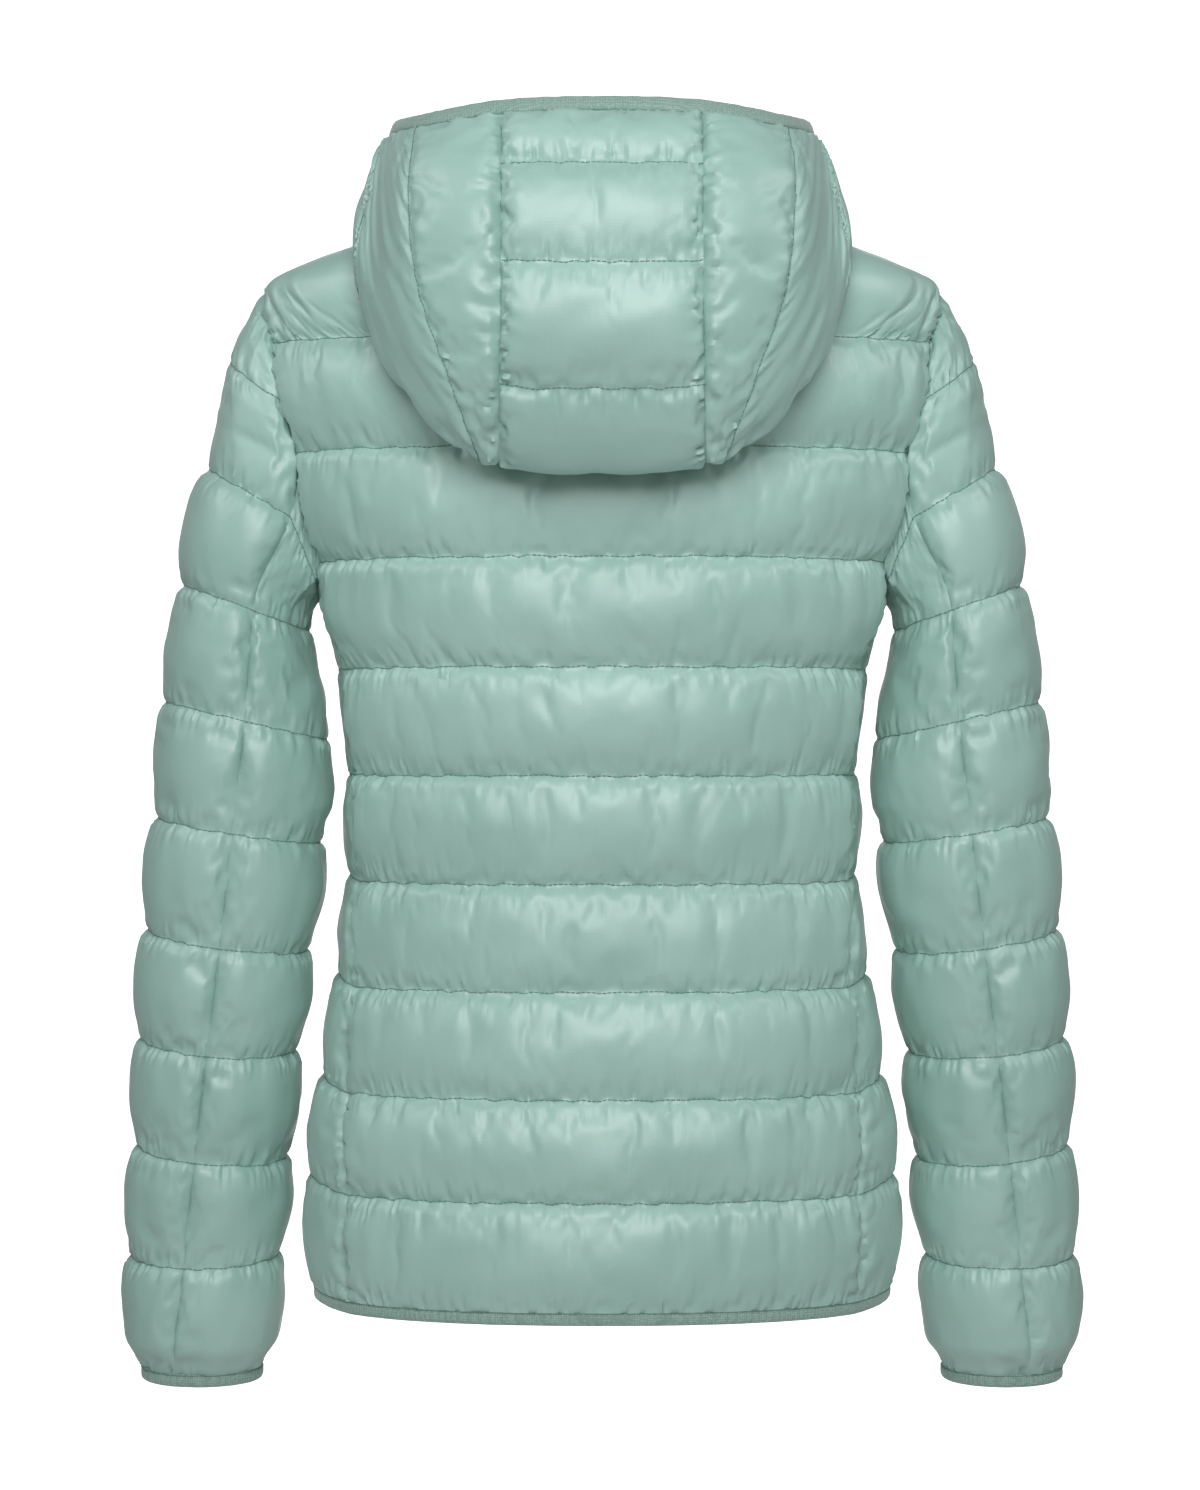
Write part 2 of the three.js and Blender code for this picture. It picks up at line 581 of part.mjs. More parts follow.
// How far the sleeve's own ring is moved at a seam so that it meets the armhole.
function seamShift(line, side) {
  const sign = side === "back" ? 1 : -1;
  const own = (l) => sleevePoint(sign * seamAngle(l, side), l);
  if (line <= jointLine) return sleeveArmhole(stopAt(line, side)).sub(own(line));
  const fade = clamp(1 - (line - jointLine) / (3 - jointLine), 0, 1) ** 2;
  return sleeveArmhole(stopAt(jointLine, side)).sub(own(jointLine)).multiplyScalar(fade);
}

const capColumns = 12;
const capTop = Array.from({ length: capColumns + 1 }, (_, j) => {
  const at = 3 - j / 2;
  return sleeveArmhole(at >= 0 ? at : armhole.length + at);
});
function upperPoint(u, line, j) {
  const own = (l) => sleevePoint(lerp(seamAngle(l, "back"), -seamAngle(l, "front"), u), l)
    .addScaledVector(seamShift(l, "back"), (1 - u) ** 2)
    .addScaledVector(seamShift(l, "front"), u ** 2);
  const p = own(line);
  if (line < 1) p.addScaledVector(capTop[j].clone().sub(own(0)), (1 - line) ** 2);
  return p;
}

const underStops = [8, 9, 10, 11, 12, 13, 14, 15, 16];
function underPoint(u, line, j) {
  const turn = (l) => lerp(seamAngle(l, "back"), 2 * Math.PI - seamAngle(l, "front"), u);
  const own = (l) => sleevePoint(turn(l), l)
    .addScaledVector(seamShift(l, "back"), (1 - u) ** 2)
    .addScaledVector(seamShift(l, "front"), u ** 2);
  const p = own(line);
  if (line < 3) {
    const fade = (1 - (line - jointLine) / (3 - jointLine)) ** 1.4;
    p.addScaledVector(sleeveArmhole(underStops[j]).sub(own(jointLine)), fade);
  }
  return { point: p, turn: turn(line) };
}

// The line of the sleeve's rings that passes through a height, at one angle round it.
function lineThrough(angle, z) {
  let low = 1, high = 4;
  for (let n = 0; n < 24; n += 1) {
    const middle = (low + high) / 2;
    if (sleevePoint(angle, middle).z > z) low = middle;
    else high = middle;
  }
  return low;
}

const sleeveLinesBelow = [3, 4, 5, 6, 7, 8, 9].flatMap((line) => quarters.map((t) => line + t));
const underLines = [1.6, 1.8, 2, 2.25, 2.5, 2.75, ...sleeveLinesBelow, 10];
const upperLines = [0, 0.25, 0.5, 0.75, 1, 1.25, 1.45, ...underLines];
const sleeveChannel = (line) => channel(1 - (line - Math.floor(Math.min(line, 9.999))));

function sleeveUpper(side, material) {
  const base = upperLines.map((line) =>
    Array.from({ length: capColumns + 1 }, (_, j) => upperPoint(j / capColumns, line, j)));
  const puff = base.map((row, i) => {
    const reach = edgeDistances(row);
    return row.map((_, j) => sleevePuff * ramp(reach[j]) * (i === 0 ? 0 : sleeveChannel(upperLines[i])));
  });
  const free = (i) => upperLines[i] >= jointLine;
  const armRim = (i, column) => {
    const line = upperLines[upperLines.length - 1 - i];
    return line <= jointLine ? armholeRim(stopAt(line, column)) : null;
  };
  return panel({
    name: "sleeve_upper_" + side, base: base.reverse(), puff: puff.reverse(), outward: -1, material,
    mirrored: side === "right",
    rims: {
      start: (i) => armRim(i, "back"), end: (i) => armRim(i, "front"),
      top: (j) => armholeRim(3 - j / 2 >= 0 ? 3 - j / 2 : armhole.length + 3 - j / 2),
    },
    gaps: {
      start: (i) => free(upperLines.length - 1 - i), end: (i) => free(upperLines.length - 1 - i),
      bottom: true, top: () => false,
    },
    insideRows: everyOther(base.length, 3), insideColumns: everyOther(capColumns + 1, 2),
  });
}

function sleeveUnder(side, material) {
  const columns = underStops.length;
  const made = underLines.map((line) =>
    Array.from({ length: columns }, (_, j) => underPoint(j / (columns - 1), line, j)));
  const base = made.map((row) => row.map(({ point }) => point));
  const puff = made.map((row, i) => {
    const reach = edgeDistances(base[i]);
    return row.map(({ point, turn }, j) => {
      const line = underLines[i] < 3 ? lineThrough(turn, point.z) : underLines[i];
      const facing = clamp(-Math.cos(turn), 0, 1) * clamp((point.z + 340) / 40, 0, 1);
      const calm = lerp(1, underarmCalm(point), clamp(0.5 - 1.5 * Math.cos(turn), 0, 1));
      return i === 0 ? 0 : sleevePuff * calm * (1 - 0.6 * facing) * ramp(reach[j]) * sleeveChannel(line);
    });
  });
  const last = underLines.length - 1;
  return panel({
    name: "sleeve_under_" + side, base: base.reverse(), puff: puff.reverse(), outward: 1, material,
    mirrored: side === "right",
    rims: {
      start: (i) => (i === last ? armholeRim(8) : null), end: (i) => (i === last ? armholeRim(16) : null),
      top: (j) => armholeRim(underStops[j]),
    },
    gaps: { start: () => true, end: () => true, bottom: true, top: () => false },
    insideRows: everyOther(base.length, 3), insideColumns: everyOther(columns, 2),
  });
}

// Hood.
function hoodPoint(station, level) {
  const raised = vec(0, 0, seamGap);
  const neckAt = (s) => {
    const k = clamp(Math.floor(2 * s), 0, hoodOnNeck.length - 2);
    return along(neckPoints, lerp(hoodOnNeck[k], hoodOnNeck[k + 1], 2 * s - k)).add(raised);
  };
  const curve = [neckAt(station)];
  hoodLevels.forEach((name) => {
    const chain = hoodSections.map((section) => vec(...section[name]));
    const mirroredFirst = vec(-chain[1].x, chain[1].y, chain[1].z);
    curve.push(smooth([mirroredFirst, ...chain], station + 1));
  });
  return smooth(curve, level);
}

const hoodStops = [
  0, 0.33, 0.66, 1, 1.45, 1.9, 2.25, 2.6, 2.9, 3.2, 3.65,
  4.1, 4.5, 4.86, 5.22, 5.55, 5.87, 6.18, 6.45, 6.75, 7,
];

// The direction out of the hood at the seam between its middle strip and a side.
function hoodSeamRim(level) {
  const across = hoodPoint(1.1, level).sub(hoodPoint(0.9, level));
  const up = hoodPoint(1, Math.min(level + 0.1, hoodTop)).sub(hoodPoint(1, Math.max(level - 0.1, 0)));
  return up.cross(across).normalize();
}

function hoodChannel(lines, at) {
  let k = 0;
  while (k < lines.length - 2 && at > lines[k + 1]) k += 1;
  return channel((at - lines[k]) / (lines[k + 1] - lines[k]));
}

function hoodCentre(material) {
  const columns = 8;
  const base = hoodStops.map((level) => {
    return Array.from({ length: columns + 1 }, (_, j) => {
      const across = 1 - (2 * j) / columns;
      const p = hoodPoint(Math.abs(across), level);
      return vec(Math.sign(across) * p.x, p.y, p.z);
    });
  });
  const puff = base.map((row, i) => {
    const reach = edgeDistances(row);
    const near = clamp(hoodStops[i] / 1.3, 0, 1);
    return row.map((_, j) => hoodPuff * near * ramp(reach[j]) * hoodChannel(hoodCentreLines, hoodStops[i]));
  });
  return panel({
    name: "hood_centre", base, puff, outward: 1, material,
    rims: {
      bottom: (j) => neckRim(base[0][j]), start: (i) => hoodSeamRim(hoodStops[i]),
      end: (i) => hoodSeamRim(hoodStops[i]).multiply(vec(-1, 1, 1)),
    },
    gaps: { start: () => true, end: () => true, bottom: false, top: () => true },
    insideRows: everyOther(base.length, 2), insideColumns: everyOther(columns + 1, 2),
  });
}

const hoodSideStations = [1, 1.5, 2, 2.5, 3, 3.5, 4, 4.5, 5, 5.5, 6, 6.5, 7];
function hoodSide(side, material) {
  const base = hoodStops.map((level) => hoodSideStations.map((station) => hoodPoint(station, level)));
  const puff = base.map((row, i) => {
    const level = hoodStops[i], reach = edgeDistances(row);
    const between = ["first", "second", "third"].map((c) => read(hoodSideLines, "level", level, c));
    const lines = [1, ...between, 7];
    const ends = clamp(level / 1.3, 0, 1) * ramp((hoodTop - level) * 40);
    return row.map((_, j) =>
      hoodPuff * ramp(reach[j]) * ends * (0.35 + 0.65 * hoodChannel(lines, hoodSideStations[j])));
  });
  return panel({
    name: "hood_side_" + side, base, puff, outward: -1, material, mirrored: side === "right",
    rims: {
      bottom: (j) => neckRim(base[0][j]), start: (i) => hoodSeamRim(hoodStops[i]), end: () => vec(0, -1, 0),
    },
    gaps: { start: () => true, end: () => true, bottom: false, top: () => true },
    insideRows: everyOther(base.length, 2), insideColumns: everyOther(hoodSideStations.length, 2),
  });
}

// Bindings. Top and bottom are how far a section's outer face stands out at its two edges.
const bindingSection = (corner, top, bottom) => [
  corner(top, 0), corner(bottom, bindingWidth),
  corner(-bindingThickness, bindingWidth), corner(-bindingThickness, 0),
];

function hemBinding(material) {
  const bottom = bodyLines[0];
  const steps = 44;
  const zipAngle = bodyAngle(zipHalf, bottom.z, -1);
  const seam = bodyAngle(read(sideSeam, "z", bottom.z, "x"), bottom.z, 1);
  const sections = Array.from({ length: steps + 1 }, (_, i) => {
    const angle = lerp(-zipAngle, zipAngle, i / steps);
    const turn = clamp((Math.abs(angle) - seam) / 0.6, 0, 1);
    const z = bottom.z + bottom.lift * Math.sin((turn * Math.PI) / 2) - seamGap;
    const p = bodyPoint(angle, z);
    const ahead = bodyPoint(angle + 0.01, z).sub(bodyPoint(angle - 0.01, z));
    const out = vec(-ahead.y, ahead.x, 0).normalize();
    if (out.dot(p) < 0) out.negate();
    const corner = (o, down) => p.clone().addScaledVector(out, o).add(vec(0, 0, -down));
    return bindingSection(corner, 0.4, 0.4);
  });
  return bar("hem_binding", sections, false, material);
}

function cuffBinding(side, material) {
  const steps = 28;
  const sections = Array.from({ length: steps }, (_, i) => {
    const angle = (i / steps) * 2 * Math.PI;
    const centre = vec(...["x", "y", "z"].map((column) => sleeveRings.at(-1)[column]));
    const p = sleevePoint(angle, 10);
    const out = p.clone().sub(centre).setZ(0).normalize();
    const corner = (o, down) => p.clone().addScaledVector(out, o).add(vec(0, 0, -down - 2 * seamGap));
    return bindingSection(corner, 0.3, -0.2);
  });
  return bar("cuff_binding_" + side, sections, true, material, side === "right");
}

function hoodBinding(material) {
  const stations = [...hoodSideStations.slice().reverse(), 0.75, 0.5, 0.25, 0];
  const half = stations.map((station) => {
    const edge = hoodPoint(station, hoodTop), below = hoodPoint(station, hoodTop - 0.2);
    const up = edge.clone().sub(below).normalize();
    const ahead = hoodPoint(Math.max(station - 0.05, 0), hoodTop)
      .sub(hoodPoint(Math.min(station + 0.05, 7), hoodTop));
    if (station === 0) ahead.set(1, 0, 0).negate();
    const out = up.clone().cross(ahead).normalize();
    const corner = (o, rise) => edge.clone().addScaledVector(out, o).addScaledVector(up, rise + seamGap);
    return bindingSection(corner, 0.4, 0.4);
  });
  const other = half.slice(0, -1).reverse().map((section) => section.map((p) => vec(-p.x, p.y, p.z)));
  return bar("hood_binding", [...half, ...other], false, material);
}

// Zip.
function frontLine(z) {
  const foot = neckline.at(-1).z;
  if (z <= foot) return bodyPoint(bodyAngle(zipHalf, z, -1), z).y;
  return lerp(neckPoints.at(-1).y, standTop.y, clamp((z - foot) / (standTop.z - foot), 0, 1));
}

function zipTape(side, material) {
  const steps = 26, bottom = bodyLines[0].z + bodyLines[0].lift - 1;
  const sections = Array.from({ length: steps + 1 }, (_, i) => {
    const z = lerp(bottom, standTop.z, i / steps);
    const y = frontLine(z) + tape.recess;
    const outerX = zipHalf - seamGap;
    return [
      vec(tape.inner / 2, y, z), vec(outerX, y, z),
      vec(outerX, y + tape.thickness, z), vec(tape.inner / 2, y + tape.thickness, z),
    ];
  });
  return bar("zip_tape_" + side, sections, false, material, side === "right");
}

const slider = {
  width: 8.6, height: 12, depth: 3, z: -4,
  plate: 1.6, flange: 1.1,
  lug: 2, eye: 2, thick: 1.4, archHeight: 3.4,
};
const sliderFace = frontLine(slider.z) + tape.recess - seamGap;
const hinge = { y: sliderFace - slider.depth - 1.4, z: slider.z - slider.height / 2 + 1 };

const solidOf = (geometry) => {
  const plain = geometry.index ? geometry.toNonIndexed() : geometry;
  const position = plain.getAttribute("position");
  const seen = new Map(), vertices = [], index = [];
  for (let i = 0; i < position.count; i += 1) {
    const p = [position.getX(i), position.getY(i), position.getZ(i)];
    const key = p.map((v) => v.toFixed(4)).join();
    if (!seen.has(key)) {
      seen.set(key, vertices.length / 3);
      vertices.push(...p);
    }
    index.push(seen.get(key));
  }
  return new wasm.Manifold(new wasm.Mesh({
    numProp: 3, vertProperties: new Float32Array(vertices), triVerts: new Uint32Array(index),
  }));
};
const geometryOf = (solid) => {
  const { vertProperties, triVerts } = solid.getMesh();
  const geometry = new THREE.BufferGeometry();
  geometry.setAttribute("position", new THREE.Float32BufferAttribute(vertProperties, 3));
  geometry.setIndex(Array.from(triVerts));
  return geometry;
};
const extruded = (points, depth, holes = []) => {
  const shape = new THREE.Shape(points.map(([x, y]) => new THREE.Vector2(x, y)));
  holes.forEach((hole) => {
    shape.holes.push(new THREE.Path(hole.map(([x, y]) => new THREE.Vector2(x, y))));
  });
  return new THREE.ExtrudeGeometry(shape, { depth, bevelEnabled: false });
};

// The slider: a channel over the teeth, with an arch that holds the pull tab's cross bar.
function zipSlider(material) {
  const { width, height, plate, flange, depth, lug, eye, thick, archHeight } = slider;
  const halfWidth = width / 2;
  const channelOutline = [
    [-halfWidth, 0], [-halfWidth, -depth], [halfWidth, -depth], [halfWidth, 0],
    [halfWidth - flange, 0], [halfWidth - flange, -depth + plate], [-halfWidth + flange, -depth + plate],
    [-halfWidth + flange, 0],
  ];
  const shell = extruded(channelOutline, height).translate(0, sliderFace, slider.z - height);
  const reach = eye + thick, shoulder = reach - 1.3;
  const archOutline = [
    [-reach, 0.3], [reach, 0.3], [reach, -2.3],
    [shoulder, -archHeight], [-shoulder, -archHeight], [-reach, -2.3],
  ];
  const archHole = [[eye, -0.3], [eye, -2.5], [-eye, -2.5], [-eye, -0.3]];
  const upright = new THREE.Matrix4().makeBasis(vec(0, 0, 1), vec(0, 1, 0), vec(-1, 0, 0));
  const placed = (outline, thickness) => extruded(outline, thickness)
    .translate(0, 0, -thickness / 2).applyMatrix4(upright).translate(0, sliderFace - depth, hinge.z);
  const solid = solidOf(shell)
    .add(solidOf(placed(archOutline, lug)))
    .subtract(solidOf(placed(archHole, lug * 2)));
  const mesh = new THREE.Mesh(geometryOf(solid), material);
  mesh.name = "zip_slider";
  return mesh;
}

// The pull tab hangs from its cross bar, which lies on the hinge line inside the slider's arch.
function zipPullTab(material) {
  const barHalf = 0.6, eyeLength = 4.8, long = 27, half = 3.2;
  const outline = [
    [-half, barHalf], [half, barHalf], [half + 0.5, -eyeLength - 2], [half, -long + 2.5],
    [half - 1.6, -long], [-half + 1.6, -long], [-half, -long + 2.5], [-half - 0.5, -eyeLength - 2],
  ];
  const eye = [[-1.7, -barHalf], [-1.7, -eyeLength], [1.7, -eyeLength], [1.7, -barHalf]];
  const geometry = extruded(outline, 2 * barHalf, [eye])
    .translate(0, 0, -barHalf).rotateX(Math.PI / 2).translate(0, hinge.y, hinge.z);
  const mesh = new THREE.Mesh(geometry, material);
  mesh.name = "zip_pull_tab";
  return mesh;
}

// The box that closes the zip at the hem, in front of the tapes.
function zipBox(material) {
  const bottom = bodyLines[0].z + bodyLines[0].lift - 0.5, y = frontLine(bottom) + tape.recess - seamGap;
  const geometry = extruded([[-4, 0], [-4, -2.2], [-3.2, -3], [3.2, -3], [4, -2.2], [4, 0]], 9)
    .translate(0, y - 0.3, bottom);
  const mesh = new THREE.Mesh(geometry, material);
  mesh.name = "zip_box";
  return mesh;
}

const shell = new THREE.MeshStandardMaterial({ color: 0x9fc4b8, roughness: 0.38, metalness: 0 });
const elastic = new THREE.MeshStandardMaterial({ color: 0x7da596, roughness: 0.7, metalness: 0 });
const tapeCloth = new THREE.MeshStandardMaterial({ color: 0x8bb3a5, roughness: 0.8, metalness: 0 });
const enamel = new THREE.MeshStandardMaterial({ color: 0x93b8ab, roughness: 0.35, metalness: 0.4 });

const garment = new THREE.Group();
garment.add(
  back(shell), hoodCentre(shell), hemBinding(elastic), hoodBinding(elastic),
  zipSlider(enamel), zipPullTab(enamel), zipBox(enamel),
);
["left", "right"].forEach((side) => {
  garment.add(
    front(side, shell), sleeveUpper(side, shell), sleeveUnder(side, shell), hoodSide(side, shell),
    cuffBinding(side, elastic), zipTape(side, tapeCloth),
  );
});

export default garment;
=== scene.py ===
import math

import bpy
import numpy as np
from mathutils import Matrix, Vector


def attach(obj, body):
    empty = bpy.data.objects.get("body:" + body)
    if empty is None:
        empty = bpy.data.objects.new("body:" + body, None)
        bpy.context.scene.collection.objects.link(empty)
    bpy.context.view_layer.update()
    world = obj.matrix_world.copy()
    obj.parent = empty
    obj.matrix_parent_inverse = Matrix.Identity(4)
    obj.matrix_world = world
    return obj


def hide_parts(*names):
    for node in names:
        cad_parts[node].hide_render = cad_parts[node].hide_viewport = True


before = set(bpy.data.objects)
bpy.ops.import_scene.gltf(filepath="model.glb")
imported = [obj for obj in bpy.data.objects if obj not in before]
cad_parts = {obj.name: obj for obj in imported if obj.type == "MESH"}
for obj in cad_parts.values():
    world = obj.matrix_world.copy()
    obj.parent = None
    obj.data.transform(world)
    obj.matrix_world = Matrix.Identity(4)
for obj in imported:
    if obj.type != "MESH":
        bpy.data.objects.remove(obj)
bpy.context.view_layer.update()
print("frame loaded")

# Sizes are in millimetres as in the part's source, and a mesh is made in metres.
# The wearer faces -Y, left is +X, and the origin is at the middle of the neck base.
mm = 0.001

cut = {
    "seamGap": 0.3,
    "wall": 3.0,  # shell, down and lining where stitching holds them together
    "roundness": 2.3,  # exponent of the body's rounded sections
    "ramp": 15.0,  # over which a channel rises from a seam along its ends
    "bodyPuff": 9.0,
    "sidePuff": 5.0,
    "sleevePuff": 7.0,
    "hoodPuff": 8.0,
    "zipHalf": 7.2,  # from the middle of the zip to the front edges
    "overlap": 0.2,  # by which the panels run under each other at their seams
}

bodySections = {
    "z": [-640, -625, -560, -500, -440, -380, -320, -290, -256, -230,
          -195, -160, -130, -105, -68, -50, -36, -8, 12, 24],
    "half": [171, 172, 173, 165, 156, 149.5, 150, 152, 157, 163,
             174, 187, 195.5, 202.5, 203, 202.5, 200, 141.7, 100, 75],
    "back": [118, 118, 118, 115, 110, 106, 108, 111, 113, 115,
             116, 115.5, 114, 112, 105.5, 101, 96, 78, 64, 58],
    "front": [122, 122, 122, 118, 112, 108, 110, 114, 117, 119,
              120, 118, 116, 112, 104, 100, 96, 69.5, 50, 40],
}
bodyLines = {  # stitching round the body, and how far each line rises past the side seams
    "z": [-627.3, -565, -506.4, -445, -383.3, -320.8, -258.1, -195, -131.5, -66.6],
    "lift": [3, 6.5, 6.5, 6, 5, 1, 0, 0, 0, 0],
}
liftTurn = 0.6  # radians past the side seam in which a line rises
sideSeam = {
    "z": [-640, -506, -445, -383, -320, -277, -256, -229, -195],
    "x": [147.5, 147.9, 144, 142.6, 144.4, 147.9, 150.8, 159, 166],
}
# From the shoulder, down the back, under the arm and up the front.
armhole = {
    "z": [-36, -47, -57, -66.6, -85, -104, -118, -131.5, -142, -165, -195, -204,
          -207, -203, -190, -166, -142, -131.5, -118, -104, -85, -66.6, -57, -47],
    "x": [200, 198, 195, 192.5, 190, 187, 183, 179.5, 177.6, 173.5, 166, 171,
          172, 171, 166, 167, 170, 172, 175, 178, 182.5, 188, 191.5, 196],
    "side": [0, 1, 1, 1, 1, 1, 1, 1, 1, 1, 1, 1, 0, -1, -1, -1, -1, -1, -1, -1, -1, -1, -1, -1],
}
neckline = {
    "x": [0, 26, 50, 66, 75, 74, 66, 52, 30, cut["zipHalf"]],
    "z": [12, 13, 16.5, 20, 24, 14, 1, -14, -28, -35],
    "side": [1, 1, 1, 1, 0, -1, -1, -1, -1, -1],
}
hoodOnNeck = [0, 1, 2, 2.5, 3, 3.25, 3.5, 3.75, 4, 5, 5.5, 6, 7, 8, 9]
sleeveRings = {
    "line": [0, 1, 2, 3, 4, 5, 6, 7, 8, 9, 9.65, 10],
    "x": [183, 193, 201.5, 213, 213, 217.4, 224.7, 231, 235.5, 240.6, 242.5, 243],
    "y": [0, 0, 0, 2, 4, 3, -2, -8, -15, -23, -28, -31],
    "z": [-72, -107.5, -163.2, -221, -288.3, -353.7, -419.4, -482.4, -547.2, -610.8, -657, -680],
    "half": [40, 40, 43, 40, 50.4, 50.2, 49.3, 47.6, 46.1, 45.6, 44, 34.2],
    "depth": [48, 54, 58, 56, 54, 51, 48, 45, 43, 41, 39.5, 27],
    "tilt": [65, 45, 33, 19.5, 12.6, 8.6, 7.7, 5.1, 5.2, 0, 0, 0],
    "lean": [0, 0, 0, 0, 0, 2, 5, 7, 7, 7, 6, 5],
    "back": [68, 95, 111, 103, 94, 90, 89, 86, 81, 78, 72, 69],
    "front": [68, 95, 115, 110, 102, 98, 97, 95, 92, 90, 86, 84],
}
jointLine = 1.6  # where the sleeve's own seams meet the armhole
armholeStops = {
    "line": [0, 0.5, 1, 1.25, 1.45, jointLine],
    "back": [3, 4, 5, 6, 7, 8],
    "front": [21, 20, 19, 18, 17, 16],
}
zh = cut["zipHalf"]
# The hood from the neck seam, down behind the back and up again to its face edge, at eight stations.
hoodSections = {
    "roll": [[0, 93, 17], [55, 84, 20], [78, 66, 23], [90, 42, 31],
             [91, 13, 35], [84, -24, 25], [56, -77, -8], [zh, -97, -28]],
    "lie": [[0, 129, -58], [57, 126, -56], [94, 112, -44], [119, 95, -8],
            [122, 48, 21], [98, -18, 25], [64, -84, 0], [zh, -97.5, -20]],
    "fold": [[0, 148, -146], [58, 145, -141], [99, 134, -114], [128, 110, -66],
             [139, 73, -8], [112, -10, 28], [71, -89, 8], [zh, -98, -12]],
    "low": [[0, 180, -110], [57, 177, -107], [103, 154, -86], [131, 116, -44],
            [138, 74, 3], [118, -8, 31], [73, -90, 12], [zh, -98, -9]],
    "out": [[0, 191, -50], [56, 187, -48], [105, 162, -38], [127, 110, -12],
            [134, 70, 15], [121, -7, 35], [75, -90, 18], [zh, -98, -5]],
    "upper": [[0, 179, 12], [56, 175, 12], [104, 153, 12], [123, 98, 22],
              [129, 62, 34], [118, -6, 41], [75, -87, 25], [zh, -98, 1]],
    "edge": [[0, 150, 54], [56, 147, 52.5], [102, 122, 49], [119, 80, 51],
             [121, 46, 50], [110, -6, 46], [71, -81, 33], [zh, -98, 8]],
}
hoodCentreLines = [0, 1, 1.9, 2.6, 4.1, 5.22, 6.18, 7]
hoodSideLines = {
    "level": [0, 3, 4, 5, 6, 7],
    "first": [1.7, 1.18, 1.5, 1.88, 2.03, 2],
    "second": [3.3, 3.4, 3.5, 3.55, 3.5, 3.5],
    "third": [5.2, 5.2, 5.2, 5.2, 5.2, 5.2],
}
hoodTop = 7


def lerp(a, b, t):
    return a + (b - a) * t


def readTable(table, key, column, at):
    # a cubic through a column that never overshoots its rows
    keys = np.array(table[key], float)
    values = np.array(table[column], float)
    at = np.asarray(at, float)
    slopes = np.diff(values) / np.diff(keys)
    tangents = np.zeros(len(keys))
    tangents[0], tangents[-1] = slopes[0], slopes[-1]
    product = slopes[:-1] * slopes[1:]
    total = np.where(product > 0, slopes[:-1] + slopes[1:], 1)
    tangents[1:-1] = np.where(product > 0, 2 * product / total, 0)
    k = np.clip(np.searchsorted(keys, at) - 1, 0, len(keys) - 2)
    h = keys[k + 1] - keys[k]
    t = np.clip((at - keys[k]) / h, 0, 1)
    start, end = values[k], values[k + 1]
    a, b = tangents[k] * h, tangents[k + 1] * h
    return start + t * (a + t * (3 * (end - start) - 2 * a - b + t * (2 * (start - end) + a + b)))


def alongChain(points, at):
    at = np.asarray(at, float)
    k = np.clip(np.floor(at).astype(int), 0, len(points) - 2)
    t = (at - k)[..., None]
    return points[k] * (1 - t) + points[k + 1] * t


def smoothChain(points, at):
    # points is (n, ..., 3), at a number: a smooth curve through the chain
    last = len(points) - 1
    k = int(min(max(math.floor(at), 0), last - 1))
    t = at - k
    p, q = points[k], points[k + 1]
    before = points[k - 1] if k > 0 else 2 * points[0] - points[1]
    after = points[k + 2] if k + 2 <= last else 2 * points[last] - points[last - 1]
    bend = 2 * before - 5 * p + 4 * q - after + t * (3 * (p - q) + after - before)
    return p + 0.5 * t * (q - before + t * bend)


channelShape = {"high": 1.3, "steep": 6, "arc": 0.75}


def channelRise(t):
    # an arc, fullest a little above the middle, with short steep sides where the stitching pulls it in
    s = np.clip(t, 0, 1) ** channelShape["high"]
    arc = 4 * s * (1 - s)
    sides = 1 - np.abs(2 * s - 1) ** channelShape["steep"]
    return channelShape["arc"] * arc + (1 - channelShape["arc"]) * sides


def rampRise(distance):
    return np.sqrt(1 - (1 - np.clip(distance / cut["ramp"], 0, 1)) ** 2)


def unit(v):
    return v / np.maximum(np.linalg.norm(v, axis=-1, keepdims=True), 1e-9)


# Body.
def bodyPoint(angle, z):
    angle, z = np.broadcast_arrays(np.asarray(angle, float), np.asarray(z, float))
    power = 2 / cut["roundness"]
    s, c = np.sin(angle), np.cos(angle)
    half = readTable(bodySections, "z", "half", z)
    back, front = (readTable(bodySections, "z", face, z) for face in ("back", "front"))
    depth = np.where(c > 0, back, front)
    return np.stack([half * np.abs(s) ** power * np.sign(s), depth * np.abs(c) ** power * np.sign(c), z], -1)


def bodyAngle(x, z, side):
    share = np.clip(np.asarray(x, float) / readTable(bodySections, "z", "half", z), 0, 1)
    angle = np.arcsin(share ** (cut["roundness"] / 2))
    side = np.asarray(side)
    return np.where(side == 0, math.pi / 2, np.where(side > 0, angle, math.pi - angle))


armholeAngles = bodyAngle(armhole["x"], armhole["z"], armhole["side"])
armholePoints = bodyPoint(armholeAngles, armhole["z"])
armholeCentre = armholePoints.mean(0)
neckAngles = bodyAngle(neckline["x"], neckline["z"], neckline["side"])
neckPoints = bodyPoint(neckAngles, neckline["z"])
closedArmhole = np.vstack([armholePoints, armholePoints[:1]])
closedAngles = np.append(armholeAngles, armholeAngles[0])
shoulderAt = 4  # the neckline's stop at the shoulder seam
shoulderZ, underarmZ = armhole["z"][0], sideSeam["z"][-1]
neckMiddle = np.array([0, -15, 0])
shoulderSlope = {"out": 0.43, "up": 0.9}


def armholeRim(at):
    p = alongChain(closedArmhole, np.asarray(at, float) % len(armhole["z"])) - armholeCentre
    p[..., 0] = 0
    return unit(p)


def neckRim(p):
    out = p - neckMiddle
    out[..., 2] = 0
    return unit(out)


